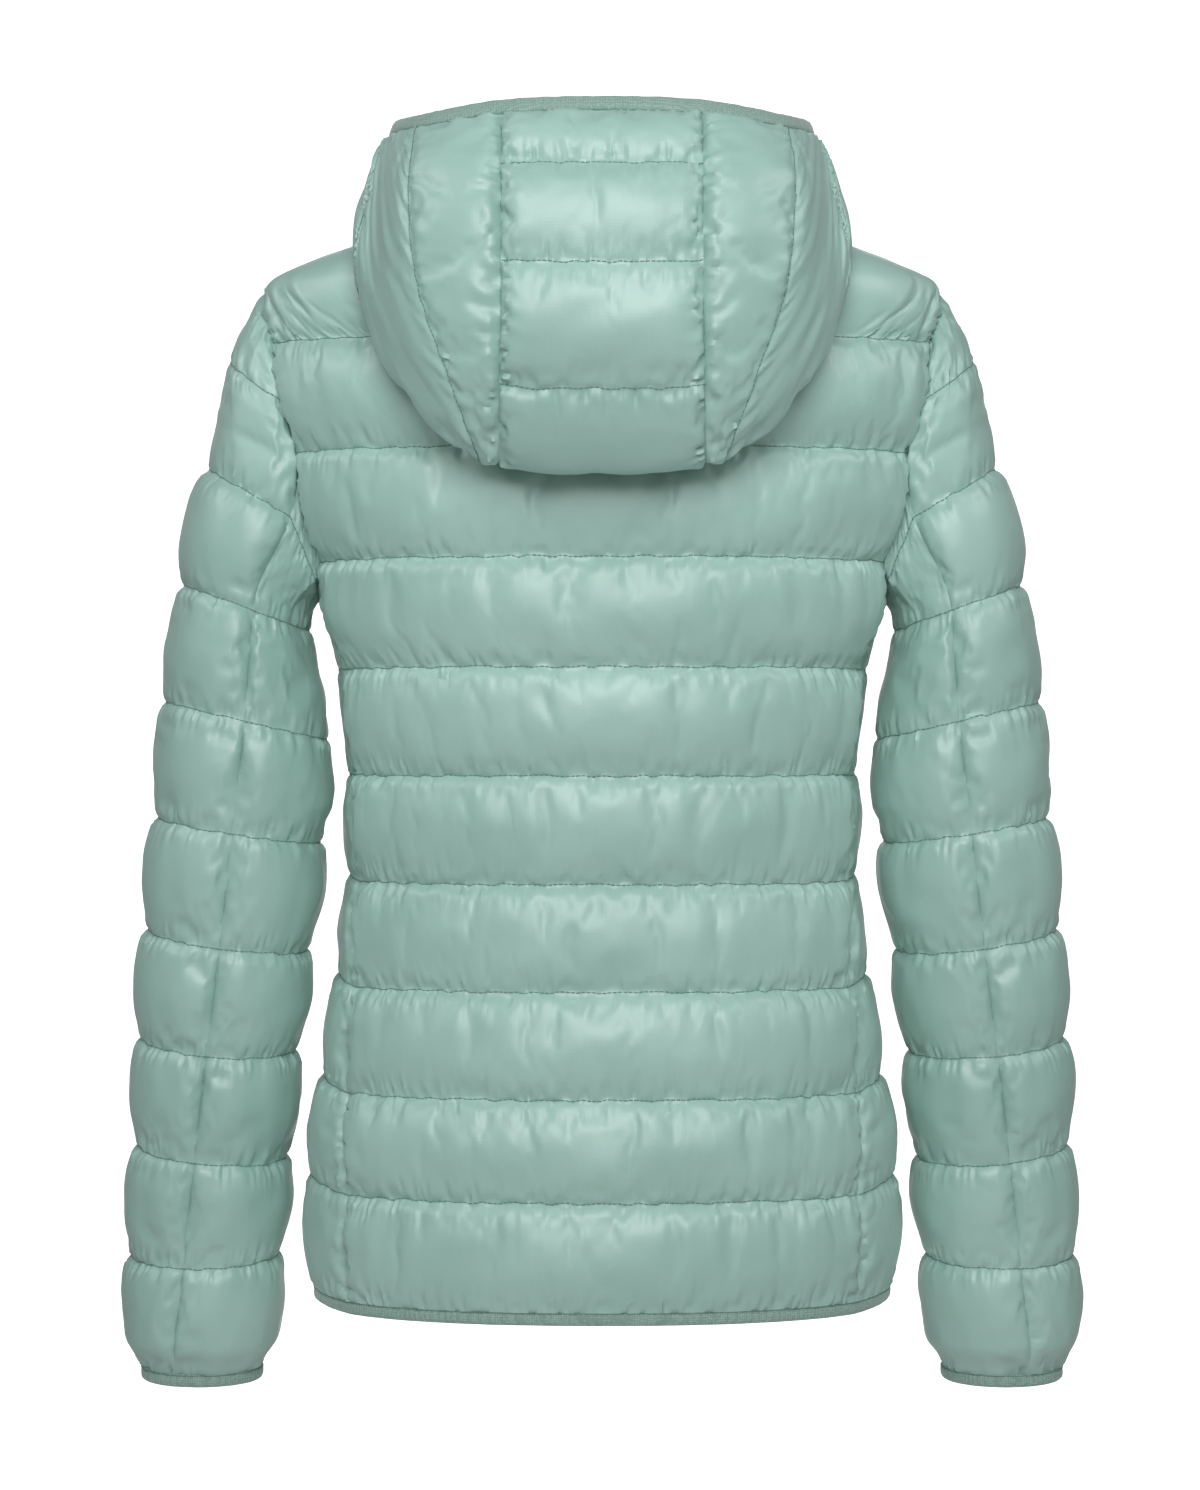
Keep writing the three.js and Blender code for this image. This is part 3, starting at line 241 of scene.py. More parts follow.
def shoulderRim(p):
    level = 0 * p[..., 0]
    return unit(np.stack([np.sign(p[..., 0]) * shoulderSlope["out"], level, level + shoulderSlope["up"]], -1))


def topRim(grid):
    # along the shoulder seam, and from its end along the neck
    onShoulder = np.abs(grid[-1][:, 0]) > neckline["x"][shoulderAt]
    return np.where(onShoulder[:, None], shoulderRim(grid[-1]), neckRim(grid[-1]))


# How each channel's edge runs: up the side seam, or from stop to stop along the armhole.
seamShare = 0.54  # of a front's channel that lies below the top of its side seam
armSteps = {
    "back": {
        7: ([0, 0.24, 0.47, 0.65, 0.83, 1], [10, 9.5, 9, 8.5, 8, 7]),
        8: ([0, 0.21, 0.42, 0.72, 1], [7, 6, 5, 4, 3]),
        9: ([0, 0.33, 0.67, 1], [3, 2, 1, 0]),
    },
    "front": {
        6: ([seamShare, 0.68, 0.8, 0.9, 1], [10, 11, 12, 13, 14]),
        7: ([0, 0.2, 0.4, 0.6, 0.82, 1], [14, 14.5, 15, 15.5, 16, 17]),
        8: ([0, 0.21, 0.42, 0.72, 1], [17, 18, 19, 20, 21]),
        9: ([0, 0.33, 0.67, 1], [21, 22, 23, 24]),
    },
}
spreads = {
    "back": [0, 0.045, 0.12, 0.25, 0.4, 0.55, 0.7, 0.85, 1],
    "front": [0, 0.04, 0.12, 0.26, 0.42, 0.6, 0.78, 0.92, 1],
}
mesh = {"channelSteps": 12, "yokeSteps": 16, "capSteps": 8, "back": 64, "front": 72, "upper": 60, "under": 56}


def bodyRows(which):
    rows = []
    heights, lifts = bodyLines["z"] + [shoulderZ], bodyLines["lift"] + [0]
    for k in range(10):
        steps = mesh["yokeSteps"] if k == 9 else mesh["channelSteps"]
        for i in range(steps + (k == 9)):
            t = i / steps
            z = lerp(heights[k], heights[k + 1], t)
            row = {"t": t, "z": z, "lift": 0, "at": None}
            stops = armSteps[which].get(k)
            if stops and t >= stops[0][0]:
                at = float(np.interp(t, stops[0], stops[1]))
                n = min(int(at), len(armhole["z"]) - 1)
                point = alongChain(closedArmhole, at)
                angle = lerp(closedAngles[n], closedAngles[n + 1], at - n)
                row.update(at=at, point=point, edgeZ=point[2], angle=angle)
            else:
                besideSeam = which == "front" and k == 6
                seamZ = lerp(heights[k], underarmZ, t / seamShare) if besideSeam else z
                angle = float(bodyAngle(readTable(sideSeam, "z", "x", seamZ), seamZ, 1))
                row.update(lift=lerp(lifts[k], lifts[k + 1], t), point=bodyPoint(angle, seamZ))
                row.update(edgeZ=seamZ, angle=angle)
            rows.append(row)
    return rows


def bodyGrid(which, columns):
    front = which == "front"
    rows = bodyRows(which)
    u = np.linspace(0, 1, columns + 1)
    half = (lambda a: a[shoulderAt:]) if front else (lambda a: a[: shoulderAt + 1][::-1])
    chain, chainAngles = half(neckPoints), half(neckAngles)
    spread = spreads[which]
    shoulderColumns = len(spread) - len(chain)
    shoulderEnd = armholePoints[0]
    tops = [lerp(shoulderEnd, chain[0], j / shoulderColumns) for j in range(shoulderColumns + 1)]
    tops = np.array(tops + list(chain[1:]))
    topAngles = np.array([math.pi / 2] * shoulderColumns + list(chainAngles))
    topPoint = np.stack([np.interp(u, spread, tops[:, n]) for n in range(3)], -1)
    topAngle = np.interp(u, spread, topAngles)
    yokeTop = bodyLines["z"][-1]
    fade = (1 - u) ** 4
    startAngle = closedAngles[armSteps[which][9][1][0]]
    grid = []
    for row in rows:
        middle = float(bodyAngle(zh, row["z"], -1)) if front else 0.0
        if row["z"] <= yokeTop + 1e-6:
            angle = lerp(row["angle"], middle, u)
            turn = np.clip((angle - row["angle"]) / liftTurn, 0, 1)
            lift = row["lift"] * np.sin(turn * math.pi / 2) if front else 0
            z = lerp(row["z"], row["edgeZ"], fade) + lift
            drift = row["point"] - bodyPoint(row["angle"], row["edgeZ"])
            grid.append(bodyPoint(angle, z) + drift * fade[:, None])
        elif row["t"] == 1:
            grid.append(topPoint.copy())
        else:
            middle = float(bodyAngle(zh, yokeTop, -1)) if front else 0.0
            angle = lerp(lerp(startAngle, middle, u), topAngle, row["t"])
            z = lerp(yokeTop, topPoint[:, 2], row["t"])
            straight = bodyPoint(lerp(startAngle, math.pi / 2, row["t"]), lerp(yokeTop, shoulderZ, row["t"]))
            grid.append(bodyPoint(angle, z) + (row["point"] - straight) * fade[:, None])
    return np.array(grid), rows, u


def runLengths(grid, axis):
    steps = np.linalg.norm(np.diff(grid, axis=axis), axis=-1)
    start = np.zeros_like(np.take(steps, [0], axis=axis))
    return np.concatenate([start, np.cumsum(steps, axis=axis)], axis=axis)


def edgeReach(grid):
    run = runLengths(grid, 1)
    return np.minimum(run, run[:, -1:] - run)


def mirrored(grid):
    return grid * np.array([-1, 1, 1])


# The channels stay thin where arm and body press on each other, and along the shoulder line.
underarm = {"top": -212, "fade": 30}
shoulderLine = {"calm": 0.7, "reach": 75, "from": -90, "fade": 40}


def underarmCalm(z):
    return np.clip((underarm["top"] - z) / underarm["fade"], 0, 1)


def shoulderCalm(grid):
    near = np.clip(1 - np.abs(grid[..., 1]) / shoulderLine["reach"], 0, 1)
    high = np.clip((grid[..., 2] - shoulderLine["from"]) / shoulderLine["fade"], 0, 1)
    return 1 - shoulderLine["calm"] * near * high


def quiltedPanel(name, grid, limit, outward, rims, seed, **more):
    return {"name": name, "grid": grid, "limit": limit, "outward": outward, "rims": rims, "seed": seed,
            "lineRows": [], "lineColumns": [], "mirror": name.endswith("_right"), **more}


def bodyPanel(name, grid, rows, height, outward, seed):
    t = np.array([r["t"] for r in rows])[:, None]
    limit = height * channelRise(t) * rampRise(edgeReach(grid)) * shoulderCalm(grid)
    rims = {"start": {i: armholeRim(r["at"]) for i, r in enumerate(rows) if r["at"] is not None}, "end": {}}
    lineRows = [i for i, r in enumerate(rows) if r["t"] == 0 and i > 0]
    return quiltedPanel(name, grid, limit, outward, rims, seed, lineRows=lineRows, top=topRim(grid))


def makeBack():
    half, rows, _ = bodyGrid("back", mesh["back"])
    grid = np.concatenate([half, mirrored(half[:, :-1])[:, ::-1]], 1)
    panel = bodyPanel("back", grid, rows, cut["bodyPuff"], 1, 11)
    panel["rims"]["end"] = {i: mirrored(v) for i, v in panel["rims"]["start"].items()}
    return panel


# The strip beside the side seam is pressed thinner above the waist, most of all where the sleeve lies on it.
sideStrip = {"pressed": 0.5, "from": -330, "fade": 30, "thin": 0.15, "full": 0.65}
besideArm = {"x": 150, "xFade": 10, "y": 48, "yFade": 15, "z": -250}


def makeFront(side):
    grid, rows, u = bodyGrid("front", mesh["front"])
    z = np.array([r["z"] for r in rows])[:, None]
    pressed = lerp(1, sideStrip["pressed"], np.clip((z - sideStrip["from"]) / sideStrip["fade"], 0, 1))
    share = np.clip((u - sideStrip["thin"]) / (sideStrip["full"] - sideStrip["thin"]), 0, 1)
    height = lerp(cut["sidePuff"] * pressed, cut["bodyPuff"], share[None, :])
    outside = np.clip((np.abs(grid[..., 0]) - besideArm["x"]) / besideArm["xFade"], 0, 1)
    middle = np.clip(1 - (np.abs(grid[..., 1]) - besideArm["y"]) / besideArm["yFade"], 0, 1)
    calm = lerp(1, underarmCalm(grid[..., 2]), outside * middle)
    height = height * np.where(grid[..., 2] > besideArm["z"], calm, 1)
    return bodyPanel("front_" + side, grid, rows, height, -1, 21)


# Sleeves.
def ringValue(column, line):
    return readTable(sleeveRings, "line", column, line)


def sleevePoint(angle, line):
    angle, line = np.broadcast_arrays(np.asarray(angle, float), np.asarray(line, float))
    tilt, lean = np.radians(ringValue("tilt", line)), np.radians(ringValue("lean", line))
    out = ringValue("half", line) * np.cos(angle)
    rear = ringValue("depth", line) * np.sin(angle)
    return np.stack([
        ringValue("x", line) + np.cos(tilt) * out,
        ringValue("y", line) + np.cos(lean) * rear,
        ringValue("z", line) + np.sin(tilt) * out - np.sin(lean) * rear,
    ], -1)


def sleeveArmhole(at):
    return alongChain(closedArmhole, np.asarray(at, float)) + np.array([cut["seamGap"], 0, 0])


def seamShift(line, side):
    sign = 1 if side == "back" else -1
    line = np.asarray(line, float)

    def own(l):
        return sleevePoint(sign * np.radians(ringValue(side, l)), l)

    stop = np.interp(line, armholeStops["line"], armholeStops[side])
    near = sleeveArmhole(stop) - own(line)
    joint = sleeveArmhole(armholeStops[side][-1]) - own(np.array(jointLine))
    fade = np.clip(1 - (line - jointLine) / (3 - jointLine), 0, 1) ** 2
    return np.where((line <= jointLine)[..., None], near, joint * fade[..., None])


def sleeveLines(start):
    steps = []
    for k in range(int(start), 10):
        first = max(start, k)
        count = max(3, round((k + 1 - first) * mesh["channelSteps"])) if k > 0 else mesh["capSteps"]
        steps += [lerp(first, k + 1, i / count) for i in range(count)]
    return np.array(steps + [10.0])


def sleeveGrid(lines, columns, back, front):
    # the sleeve's surface between two turns, with its two seams drawn over to the armhole
    u = np.linspace(0, 1, columns + 1)
    turn = lerp(back[:, None], front[:, None], u[None])
    shiftBack = seamShift(lines, "back")[:, None] * ((1 - u) ** 2)[None, :, None]
    shiftFront = seamShift(lines, "front")[:, None] * (u**2)[None, :, None]
    return sleevePoint(turn, lines[:, None]) + shiftBack + shiftFront, turn, u


def sleeveRise(lines):
    # each channel is filled towards its upper line, and the last one is drawn in by the cuff
    share = 1 - (lines - np.floor(np.minimum(lines, 9.9999)))
    return channelRise(share), lerp(1, cuff["calm"], np.clip((lines - cuff["from"]) / cuff["fade"], 0, 1))


def sleevePanel(name, grid, limit, lines, outward, rims, seed, top):
    # its rows run from the cuff up, as the body's run from the hem
    whole = np.abs(lines - np.round(lines)) < 1e-9
    stitched = [i for i in range(1, len(lines) - 1) if whole[i]]
    offset = np.interp(lines, sleeveLevel["line"], sleeveLevel["offset"])[:, None]
    return quiltedPanel(name, grid, limit, outward, rims, seed, lineRows=stitched, top=top, offset=offset,
                        seam=0.6)


cuff = {"calm": 0.45, "from": 9.35, "fade": 0.5}
sleeveLevel = {"line": [0, 2.2, 3.4, 9.4, 10], "offset": [0.8, 0.8, -1.4, -1.6, 1.2]}  # of the stitching
capLine = {"calm": 0.6, "line": 1, "reach": 0.5}  # hardly pulled in by its stitching
innerSide = {"calm": 0.6, "from": -340, "fade": 40}  # of the sleeve, which lies on the body


def makeUpper(side):
    lines = sleeveLines(0)
    back, front = (np.radians(ringValue(edge, lines)) for edge in ("back", "front"))
    grid, _, u = sleeveGrid(lines, mesh["upper"], back, -front)
    stops = (3 - 6 * u) % len(armhole["z"])
    cap = sleeveArmhole(stops) - grid[0]
    share = np.where(lines < 1, (1 - np.minimum(lines, 1)) ** 2, 0)
    grid += cap[None] * share[:, None, None]
    shallow = capLine["calm"] * np.exp(-(((lines - capLine["line"]) / capLine["reach"]) ** 2))
    filled, calm = sleeveRise(lines)
    rise = np.where(lines > 0, lerp(filled, 1, shallow), 0) * calm
    limit = cut["sleevePuff"] * rampRise(edgeReach(grid)) * rise[:, None]
    grid, limit, lines = grid[::-1], limit[::-1], lines[::-1]
    rims = {"start": {}, "end": {}}
    for i, line in enumerate(lines):
        if line <= jointLine:
            rims["start"][i] = armholeRim(np.interp(line, armholeStops["line"], armholeStops["back"]))
            rims["end"][i] = armholeRim(np.interp(line, armholeStops["line"], armholeStops["front"]))
    return sleevePanel("sleeve_upper_" + side, grid, limit, lines, -1, rims, 31, armholeRim(stops))


def makeUnder(side):
    lines = sleeveLines(jointLine)
    back, front = (np.radians(ringValue(edge, lines)) for edge in ("back", "front"))
    grid, turn, u = sleeveGrid(lines, mesh["under"], back, 2 * math.pi - front)
    stops = 8 + 8 * u
    joint = sleeveArmhole(stops) - grid[0]
    fade = np.where(lines < 3, np.clip(1 - (lines - jointLine) / (3 - jointLine), 0, 1) ** 1.4, 0)
    grid += joint[None] * fade[:, None, None]
    z = grid[..., 2]
    high = np.clip((z - innerSide["from"]) / innerSide["fade"], 0, 1)
    facing = innerSide["calm"] * (np.clip(-np.cos(turn), 0, 1) * high)
    under = lerp(1, underarmCalm(z), np.clip(0.5 - 1.5 * np.cos(turn), 0, 1))
    filled, calm = sleeveRise(lines)
    rise = (np.where(lines > jointLine, filled, 0) * calm)[:, None]
    limit = cut["sleevePuff"] * under * (1 - facing) * rampRise(edgeReach(grid)) * rise
    grid, limit, lines = grid[::-1], limit[::-1], lines[::-1]
    rims = {"start": {len(lines) - 1: armholeRim(stops[0])}, "end": {len(lines) - 1: armholeRim(stops[-1])}}
    return sleevePanel("sleeve_under_" + side, grid, limit, lines, 1, rims, 41, armholeRim(stops))


# Hood.
hoodChains = []
for values in hoodSections.values():
    chain = np.array(values, float)
    hoodChains.append(np.vstack([mirrored(chain[1]), chain]))


def hoodPoint(station, level):
    s = 2 * station
    k = int(min(max(math.floor(s), 0), len(hoodOnNeck) - 2))
    neck = alongChain(neckPoints, lerp(hoodOnNeck[k], hoodOnNeck[k + 1], s - k))
    neck = neck + np.array([0, 0, cut["seamGap"]])
    curve = np.array([neck] + [smoothChain(chain, station + 1) for chain in hoodChains])
    return smoothChain(curve, level)


def hoodLevels(stops, counts):
    levels = []
    for a, b, n in zip(stops[:-1], stops[1:], counts):
        levels += [lerp(a, b, i / n) for i in range(n)]
    return levels + [stops[-1]]


def hoodSeamRim(level):
    across = hoodPoint(1.1, level) - hoodPoint(0.9, level)
    up = hoodPoint(1, min(level + 0.1, hoodTop)) - hoodPoint(1, max(level - 0.1, 0))
    return unit(np.cross(up, across))


hoodStops = hoodLevels(hoodCentreLines, [15, 15, 12, 18, 14, 12, 9])
# The hood's channels are thin at the neck and the edge, and flatter on the fold that it hangs over.
hoodFill = {"neck": 1.3, "edge": 40, "fold": 3.2, "foldReach": 0.75, "centre": 0.3, "side": 0.6,
            "channels": 0.22, "sideways": 0.35}


def hoodEnds(levels, foldShare):
    fold = np.exp(-(((levels - hoodFill["fold"]) / hoodFill["foldReach"]) ** 2))
    return np.clip(levels / hoodFill["neck"], 0, 1) * lerp(1, foldShare, fold)


def makeHoodCentre():
    across = np.linspace(1, -1, 45)
    rows = []
    for level in hoodStops:
        rows.append([hoodPoint(abs(a), level) * (np.sign(a) if a else 0, 1, 1) for a in across])
    grid, levels = np.array(rows), np.array(hoodStops)
    share = np.zeros(len(levels))
    for a, b in zip(hoodCentreLines[:-1], hoodCentreLines[1:]):
        share = np.where((levels >= a) & (levels < b), channelRise((levels - a) / (b - a)), share)
    ends = hoodEnds(levels, hoodFill["centre"])
    limit = cut["hoodPuff"] * (ends * share)[:, None] * rampRise(edgeReach(grid))
    rims = {"start": {i: hoodSeamRim(v) for i, v in enumerate(hoodStops)}}
    rims["end"] = {i: mirrored(v) for i, v in rims["start"].items()}
    lineRows = [i for i, v in enumerate(hoodStops) if v in hoodCentreLines and 0 < v < hoodTop]
    return quiltedPanel("hood_centre", grid, limit, 1, rims, 51, lineRows=lineRows,
                        bottom=neckRim(grid[0]), seam=1.7)


def makeHoodSide(side):
    counts = [12, 26, 26, 20]
    rows = []
    for level in hoodStops:
        between = [float(readTable(hoodSideLines, "level", c, level)) for c in ("first", "second", "third")]
        rows.append([hoodPoint(s, level) for s in hoodLevels([1] + between + [7], counts)])
    grid = np.array(rows)
    shares = np.concatenate([np.arange(n) / n for n in counts] + [[0]])[None]
    levels = np.array(hoodStops)[:, None]
    ends = hoodEnds(levels, hoodFill["side"]) * rampRise((hoodTop - levels) * hoodFill["edge"])
    channels = 1 - hoodFill["channels"] + hoodFill["channels"] * channelRise(shares)
    sideways = 1 - hoodFill["sideways"] * np.abs(gridNormals(grid, -1)[..., 0]) ** 2
    limit = cut["hoodPuff"] * rampRise(edgeReach(grid)) * ends * channels * sideways
    rims = {"start": {i: hoodSeamRim(v) for i, v in enumerate(hoodStops)}}
    rims["end"] = {i: np.array([0, -1.0, 0]) for i in range(len(hoodStops))}
    lineColumns = list(np.cumsum(counts)[:-1])
    return quiltedPanel("hood_side_" + side, grid, limit, -1, rims, 61, lineColumns=lineColumns,
                        bottom=neckRim(grid[0]), seam=1.5)


# Wrinkles.
def latticeNoise(x, y, seed):
    table = np.random.default_rng(seed).uniform(-1, 1, (256, 256))
    xi, yi = np.floor(x).astype(int), np.floor(y).astype(int)
    fx, fy = x - xi, y - yi
    fx, fy = fx * fx * (3 - 2 * fx), fy * fy * (3 - 2 * fy)
    a, b = table[yi % 256, xi % 256], table[yi % 256, (xi + 1) % 256]
    c, d = table[(yi + 1) % 256, xi % 256], table[(yi + 1) % 256, (xi + 1) % 256]
    return lerp(lerp(a, b, fx), lerp(c, d, fx), fy)


# Fine and wide gathers stand square to a seam, rays run from it on the slant, and broad slack lies between.
gathers = {
    "fine": 0.9, "fineWave": 4.0, "finePeak": 3.0, "fineLong": 16,
    "wide": 0.4, "wideWave": 9.0, "widePeak": 7.0, "wideLong": 34,
    "ray": 0.7, "rayWave": 8.0, "rayFade": 11.0, "rayLong": 60,
    "raySlant": 0.7, "rayTurn": 90, "rayGroup": 38,
    "broad": 0.8, "broadWave": 30.0, "broadFrom": 12,
    "waver": 0.7, "waverWave": 5.0, "waverFade": 7, "seam": 1.2,
}


def bell(distance, peak):
    return distance / peak * np.exp(1 - distance / peak)


def gatherHeight(distance, along, offset, seed, strength):
    g = gathers
    ridge = latticeNoise(along / g["fineWave"] + offset, distance / g["fineLong"] + offset, seed)
    fine = np.clip(1.5 - 3.6 * np.abs(ridge), -1, 1.2) * bell(distance, g["finePeak"])
    wide = latticeNoise(along / g["wideWave"] + offset, distance / g["wideLong"] + offset, seed + 1)
    wide = wide * bell(distance, g["widePeak"])
    lean = np.sign(latticeNoise(along / g["rayTurn"] + offset, 0 * along, seed + 6))
    slant = along + distance * g["raySlant"] * lean
    ray = latticeNoise(slant / g["rayWave"] + offset, distance / g["rayLong"] + offset, seed + 2)
    group = np.clip(0.3 + 1.6 * latticeNoise(along / g["rayGroup"] + offset, distance / 80, seed + 3), 0, 1)
    long = np.clip(1 - 3 * np.abs(ray), -1, 1) * group
    long = long * (1 - np.exp(-distance / 3)) * np.exp(-distance / g["rayFade"])
    return strength * (g["fine"] * fine + g["wide"] * wide) + g["ray"] * long


def edgeDistance(across, up):
    return np.minimum(np.minimum(across, across[:, -1:] - across), np.minimum(up, up[-1:] - up))


def wrinkles(grid, lineRows, lineColumns, seed, seam):
    # short gathers square to every stitched line and seam, dying out over the first centimetre or two
    across, up = runLengths(grid, 1), runLengths(grid, 0)
    total = np.zeros(grid.shape[:2])
    rows = [0] + list(lineRows) + [grid.shape[0] - 1]
    for n, (a, b) in enumerate(zip(rows[:-1], rows[1:])):
        part = slice(a, b + 1)
        below, above, offset = up[part] - up[a], up[b] - up[part], n * 7.3
        low = gatherHeight(below, across[part], offset, seed, 1)
        high = gatherHeight(above, across[part], offset + 3.1, seed + 5, 1)
        total[part] += np.where(below <= above, low, high)
    columns = [0] + list(lineColumns) + [grid.shape[1] - 1]
    for n, (a, b) in enumerate(zip(columns[:-1], columns[1:])):
        part = slice(a, b + 1)
        left, right = across[:, part] - across[:, a : a + 1], across[:, b : b + 1] - across[:, part]
        first, last, offset = seam if a == 0 else 1, seam if b == grid.shape[1] - 1 else 1, n * 9.7
        near = gatherHeight(left, up[:, part], offset, seed + 9, first)
        far = gatherHeight(right, up[:, part], offset + 4, seed + 13, last)
        total[:, part] += np.where(left <= right, near, far)
    # broad slack in the cloth between the lines, on the slant
    near = np.full(grid.shape[:2], 1e3)
    for i in rows:
        near = np.minimum(near, np.abs(up - up[i]))
    for j in columns:
        near = np.minimum(near, np.abs(across - across[:, j : j + 1]))
    wave = gathers["broadWave"]
    slack = latticeNoise((across + 0.8 * up) / wave, (up - 0.5 * across) / wave * 1.7, seed + 21)
    total += gathers["broad"] * slack * np.clip(near / gathers["broadFrom"], 0, 1)
    return total * np.clip(edgeDistance(across, up) / 2, 0, 1)


def waver(grid, lineRows, lineColumns, seed):
    # the gathers pull each stitched line a little to and fro in the cloth
    across, up = runLengths(grid, 1), runLengths(grid, 0)
    move = np.zeros_like(grid)
    alongUp, alongAcross = unit(np.gradient(grid, axis=0)), unit(np.gradient(grid, axis=1))
    edge = np.clip(edgeDistance(across, up) / 12, 0, 1)
    wave, fade = gathers["waverWave"], gathers["waverFade"]
    for n, i in enumerate(lineRows):
        shift = latticeNoise(across[i] / wave + n * 5.7, np.zeros_like(across[i]), seed + 2)
        near = np.exp(-np.abs(up - up[i]) / fade)
        move += alongUp * (gathers["waver"] * shift[None] * near * edge)[..., None]
    for n, j in enumerate(lineColumns):
        shift = latticeNoise(up[:, j] / wave + n * 8.3, np.zeros_like(up[:, j]), seed + 4)
        near = np.exp(-np.abs(across - across[:, j : j + 1]) / fade)
        move += alongAcross * (gathers["waver"] * shift[:, None] * near * edge)[..., None]
    return move


def gridNormals(grid, outward):
    across = np.empty_like(grid)
    across[:, 1:-1] = grid[:, 2:] - grid[:, :-2]
    across[:, 0], across[:, -1] = grid[:, 1] - grid[:, 0], grid[:, -1] - grid[:, -2]
    up = np.empty_like(grid)
    up[1:-1] = grid[2:] - grid[:-2]
    up[0], up[-1] = grid[1] - grid[0], grid[-1] - grid[-2]
    return unit(np.cross(across, up)) * outward


def gridQuads(rows, columns):
    index = np.arange(rows * columns).reshape(rows, columns)
    return np.stack([index[:-1, :-1], index[:-1, 1:], index[1:, 1:], index[1:, :-1]], -1).reshape(-1, 4)


# The cut cloth is a little larger than its place and stitched down on its lines, and the down pushes it out.
filling = {
    "growth": 0.014, "pressure": 4.0, "start": 1.0, "uneven": 0.2, "frames": 16,
    "mass": 0.15, "stretch": 12, "shear": 4, "bending": 0.05,
    "cap": 1.15, "extra": 0.4, "knee": 0.75, "slide": 2.5,  # how far it may go past the solids' channels
    "offset": 0.8, "height": 0.88,  # of the stitching and of the channels over it
}


def simulationObject(panel):
    grid, normal = panel["grid"], panel["normal"]
    rows, columns = grid.shape[:2]
    noise = latticeNoise(*np.meshgrid(np.arange(columns) / 4, np.arange(rows) / 8), panel["seed"] + 3)
    lift = panel["limit"] * filling["start"] * (1 + filling["uneven"] * noise)
    start = (grid + normal * lift[..., None]) * mm
    cloth = bpy.data.meshes.new(panel["name"] + "_cloth")
    quads = gridQuads(rows, columns)
    if panel["outward"] < 0:
        quads = quads[:, ::-1]
    cloth.from_pydata(start.reshape(-1, 3).tolist(), [], quads.tolist())
    piece = bpy.data.objects.new(cloth.name, cloth)
    bpy.context.scene.collection.objects.link(piece)
    held = np.zeros((rows, columns), bool)
    held[[0, -1]] = True
    held[:, [0, -1]] = True
    held[panel["lineRows"]] = True
    held[:, panel["lineColumns"]] = True
    pins = piece.vertex_groups.new(name="stitched")
    pins.add(np.flatnonzero(held.ravel()).tolist(), 1.0, "REPLACE")
    modifier = piece.modifiers.new("down", "CLOTH")
    settings = modifier.settings
    settings.quality = 4
    settings.mass = filling["mass"]
    settings.tension_stiffness = settings.compression_stiffness = filling["stretch"]
    settings.shear_stiffness = filling["shear"]
    settings.bending_stiffness = filling["bending"]
    settings.vertex_group_mass = "stitched"
    settings.use_pressure = True
    settings.uniform_pressure_force = filling["pressure"]
    settings.shrink_min = -filling["growth"]
    settings.effector_weights.gravity = 0
    modifier.collision_settings.use_collision = False
    modifier.point_cache.frame_start = 1
    modifier.point_cache.frame_end = filling["frames"] + 1
    return piece


def softCap(height, cap):
    knee = filling["knee"] * cap
    over = np.maximum(height - knee, 0)
    room = np.maximum(cap - knee, 1e-6)
    return np.where(height > knee, knee + room * np.tanh(over / room), height)


def thicknessDirection(panel):
    # square to the cloth, but along the seam's own direction where two pieces meet at an angle
    direction = panel["normal"].copy()
    for column, end in ((0, "start"), (-1, "end")):
        for i, v in panel["rims"][end].items():
            direction[i, column] = v
    if "top" in panel:
        direction[-1] = panel["top"]
    if "bottom" in panel:
        direction[0] = panel["bottom"]
    return direction


def puffOut(panel, height, slide):
    # the stitching lies near the solids' level, a little above it on the body and below it on the sleeves
    offset = np.broadcast_to(panel.get("offset", filling["offset"]), height.shape)
    above = panel["direction"] * offset[..., None] + panel["normal"] * (filling["height"] * height)[..., None]
    panel["raised"] = panel["grid"] + above + slide


def inflate(panels):
    pieces = [simulationObject(p) for p in panels]
    scene = bpy.context.scene
    for step in range(1, filling["frames"] + 1):
        scene.frame_set(step)
    graph = bpy.context.evaluated_depsgraph_get()
    for panel, piece in zip(panels, pieces):
        evaluated = piece.evaluated_get(graph)
        flat = np.empty(len(evaluated.data.vertices) * 3)
        evaluated.data.vertices.foreach_get("co", flat)
        moved = flat.reshape(panel["grid"].shape) / mm - panel["grid"]
        height = (moved * panel["normal"]).sum(-1)
        slide = moved - height[..., None] * panel["normal"]
        length = np.linalg.norm(slide, axis=-1, keepdims=True)
        slide *= np.minimum(1, filling["slide"] / np.maximum(length, 1e-6))
        cap = panel["limit"] * filling["cap"] + filling["extra"]
        height = np.where(np.isfinite(height), np.clip(height, -0.5, 60), 0)
        puffOut(panel, softCap(height, cap), np.nan_to_num(slide))
        print(panel["name"], "inflated", height.max().round(1), "mm, mean", height.mean().round(1))
        bpy.data.objects.remove(piece)
    scene.frame_set(1)


def refine(grid, axis):
    # one new line between each two, on a cubic through four
    g = np.moveaxis(grid, axis, 0)
    padded = np.concatenate([2 * g[:1] - g[1:2], g, 2 * g[-1:] - g[-2:-1]])
    middle = (9 * (g[:-1] + g[1:]) - padded[:-3] - padded[3:]) / 16
    out = np.empty((2 * len(g) - 1,) + g.shape[1:])
    out[::2], out[1::2] = g, middle
    return np.moveaxis(out, 0, axis)


def meshObject(name, vertices, faces, material):
    data = bpy.data.meshes.new(name)
    data.from_pydata(vertices, [], faces)
    data.materials.append(material)
    data.shade_smooth()
    data.set_sharp_from_angle(angle=math.radians(55))
    piece = bpy.data.objects.new(name, data)
    bpy.context.scene.collection.objects.link(piece)
    return piece


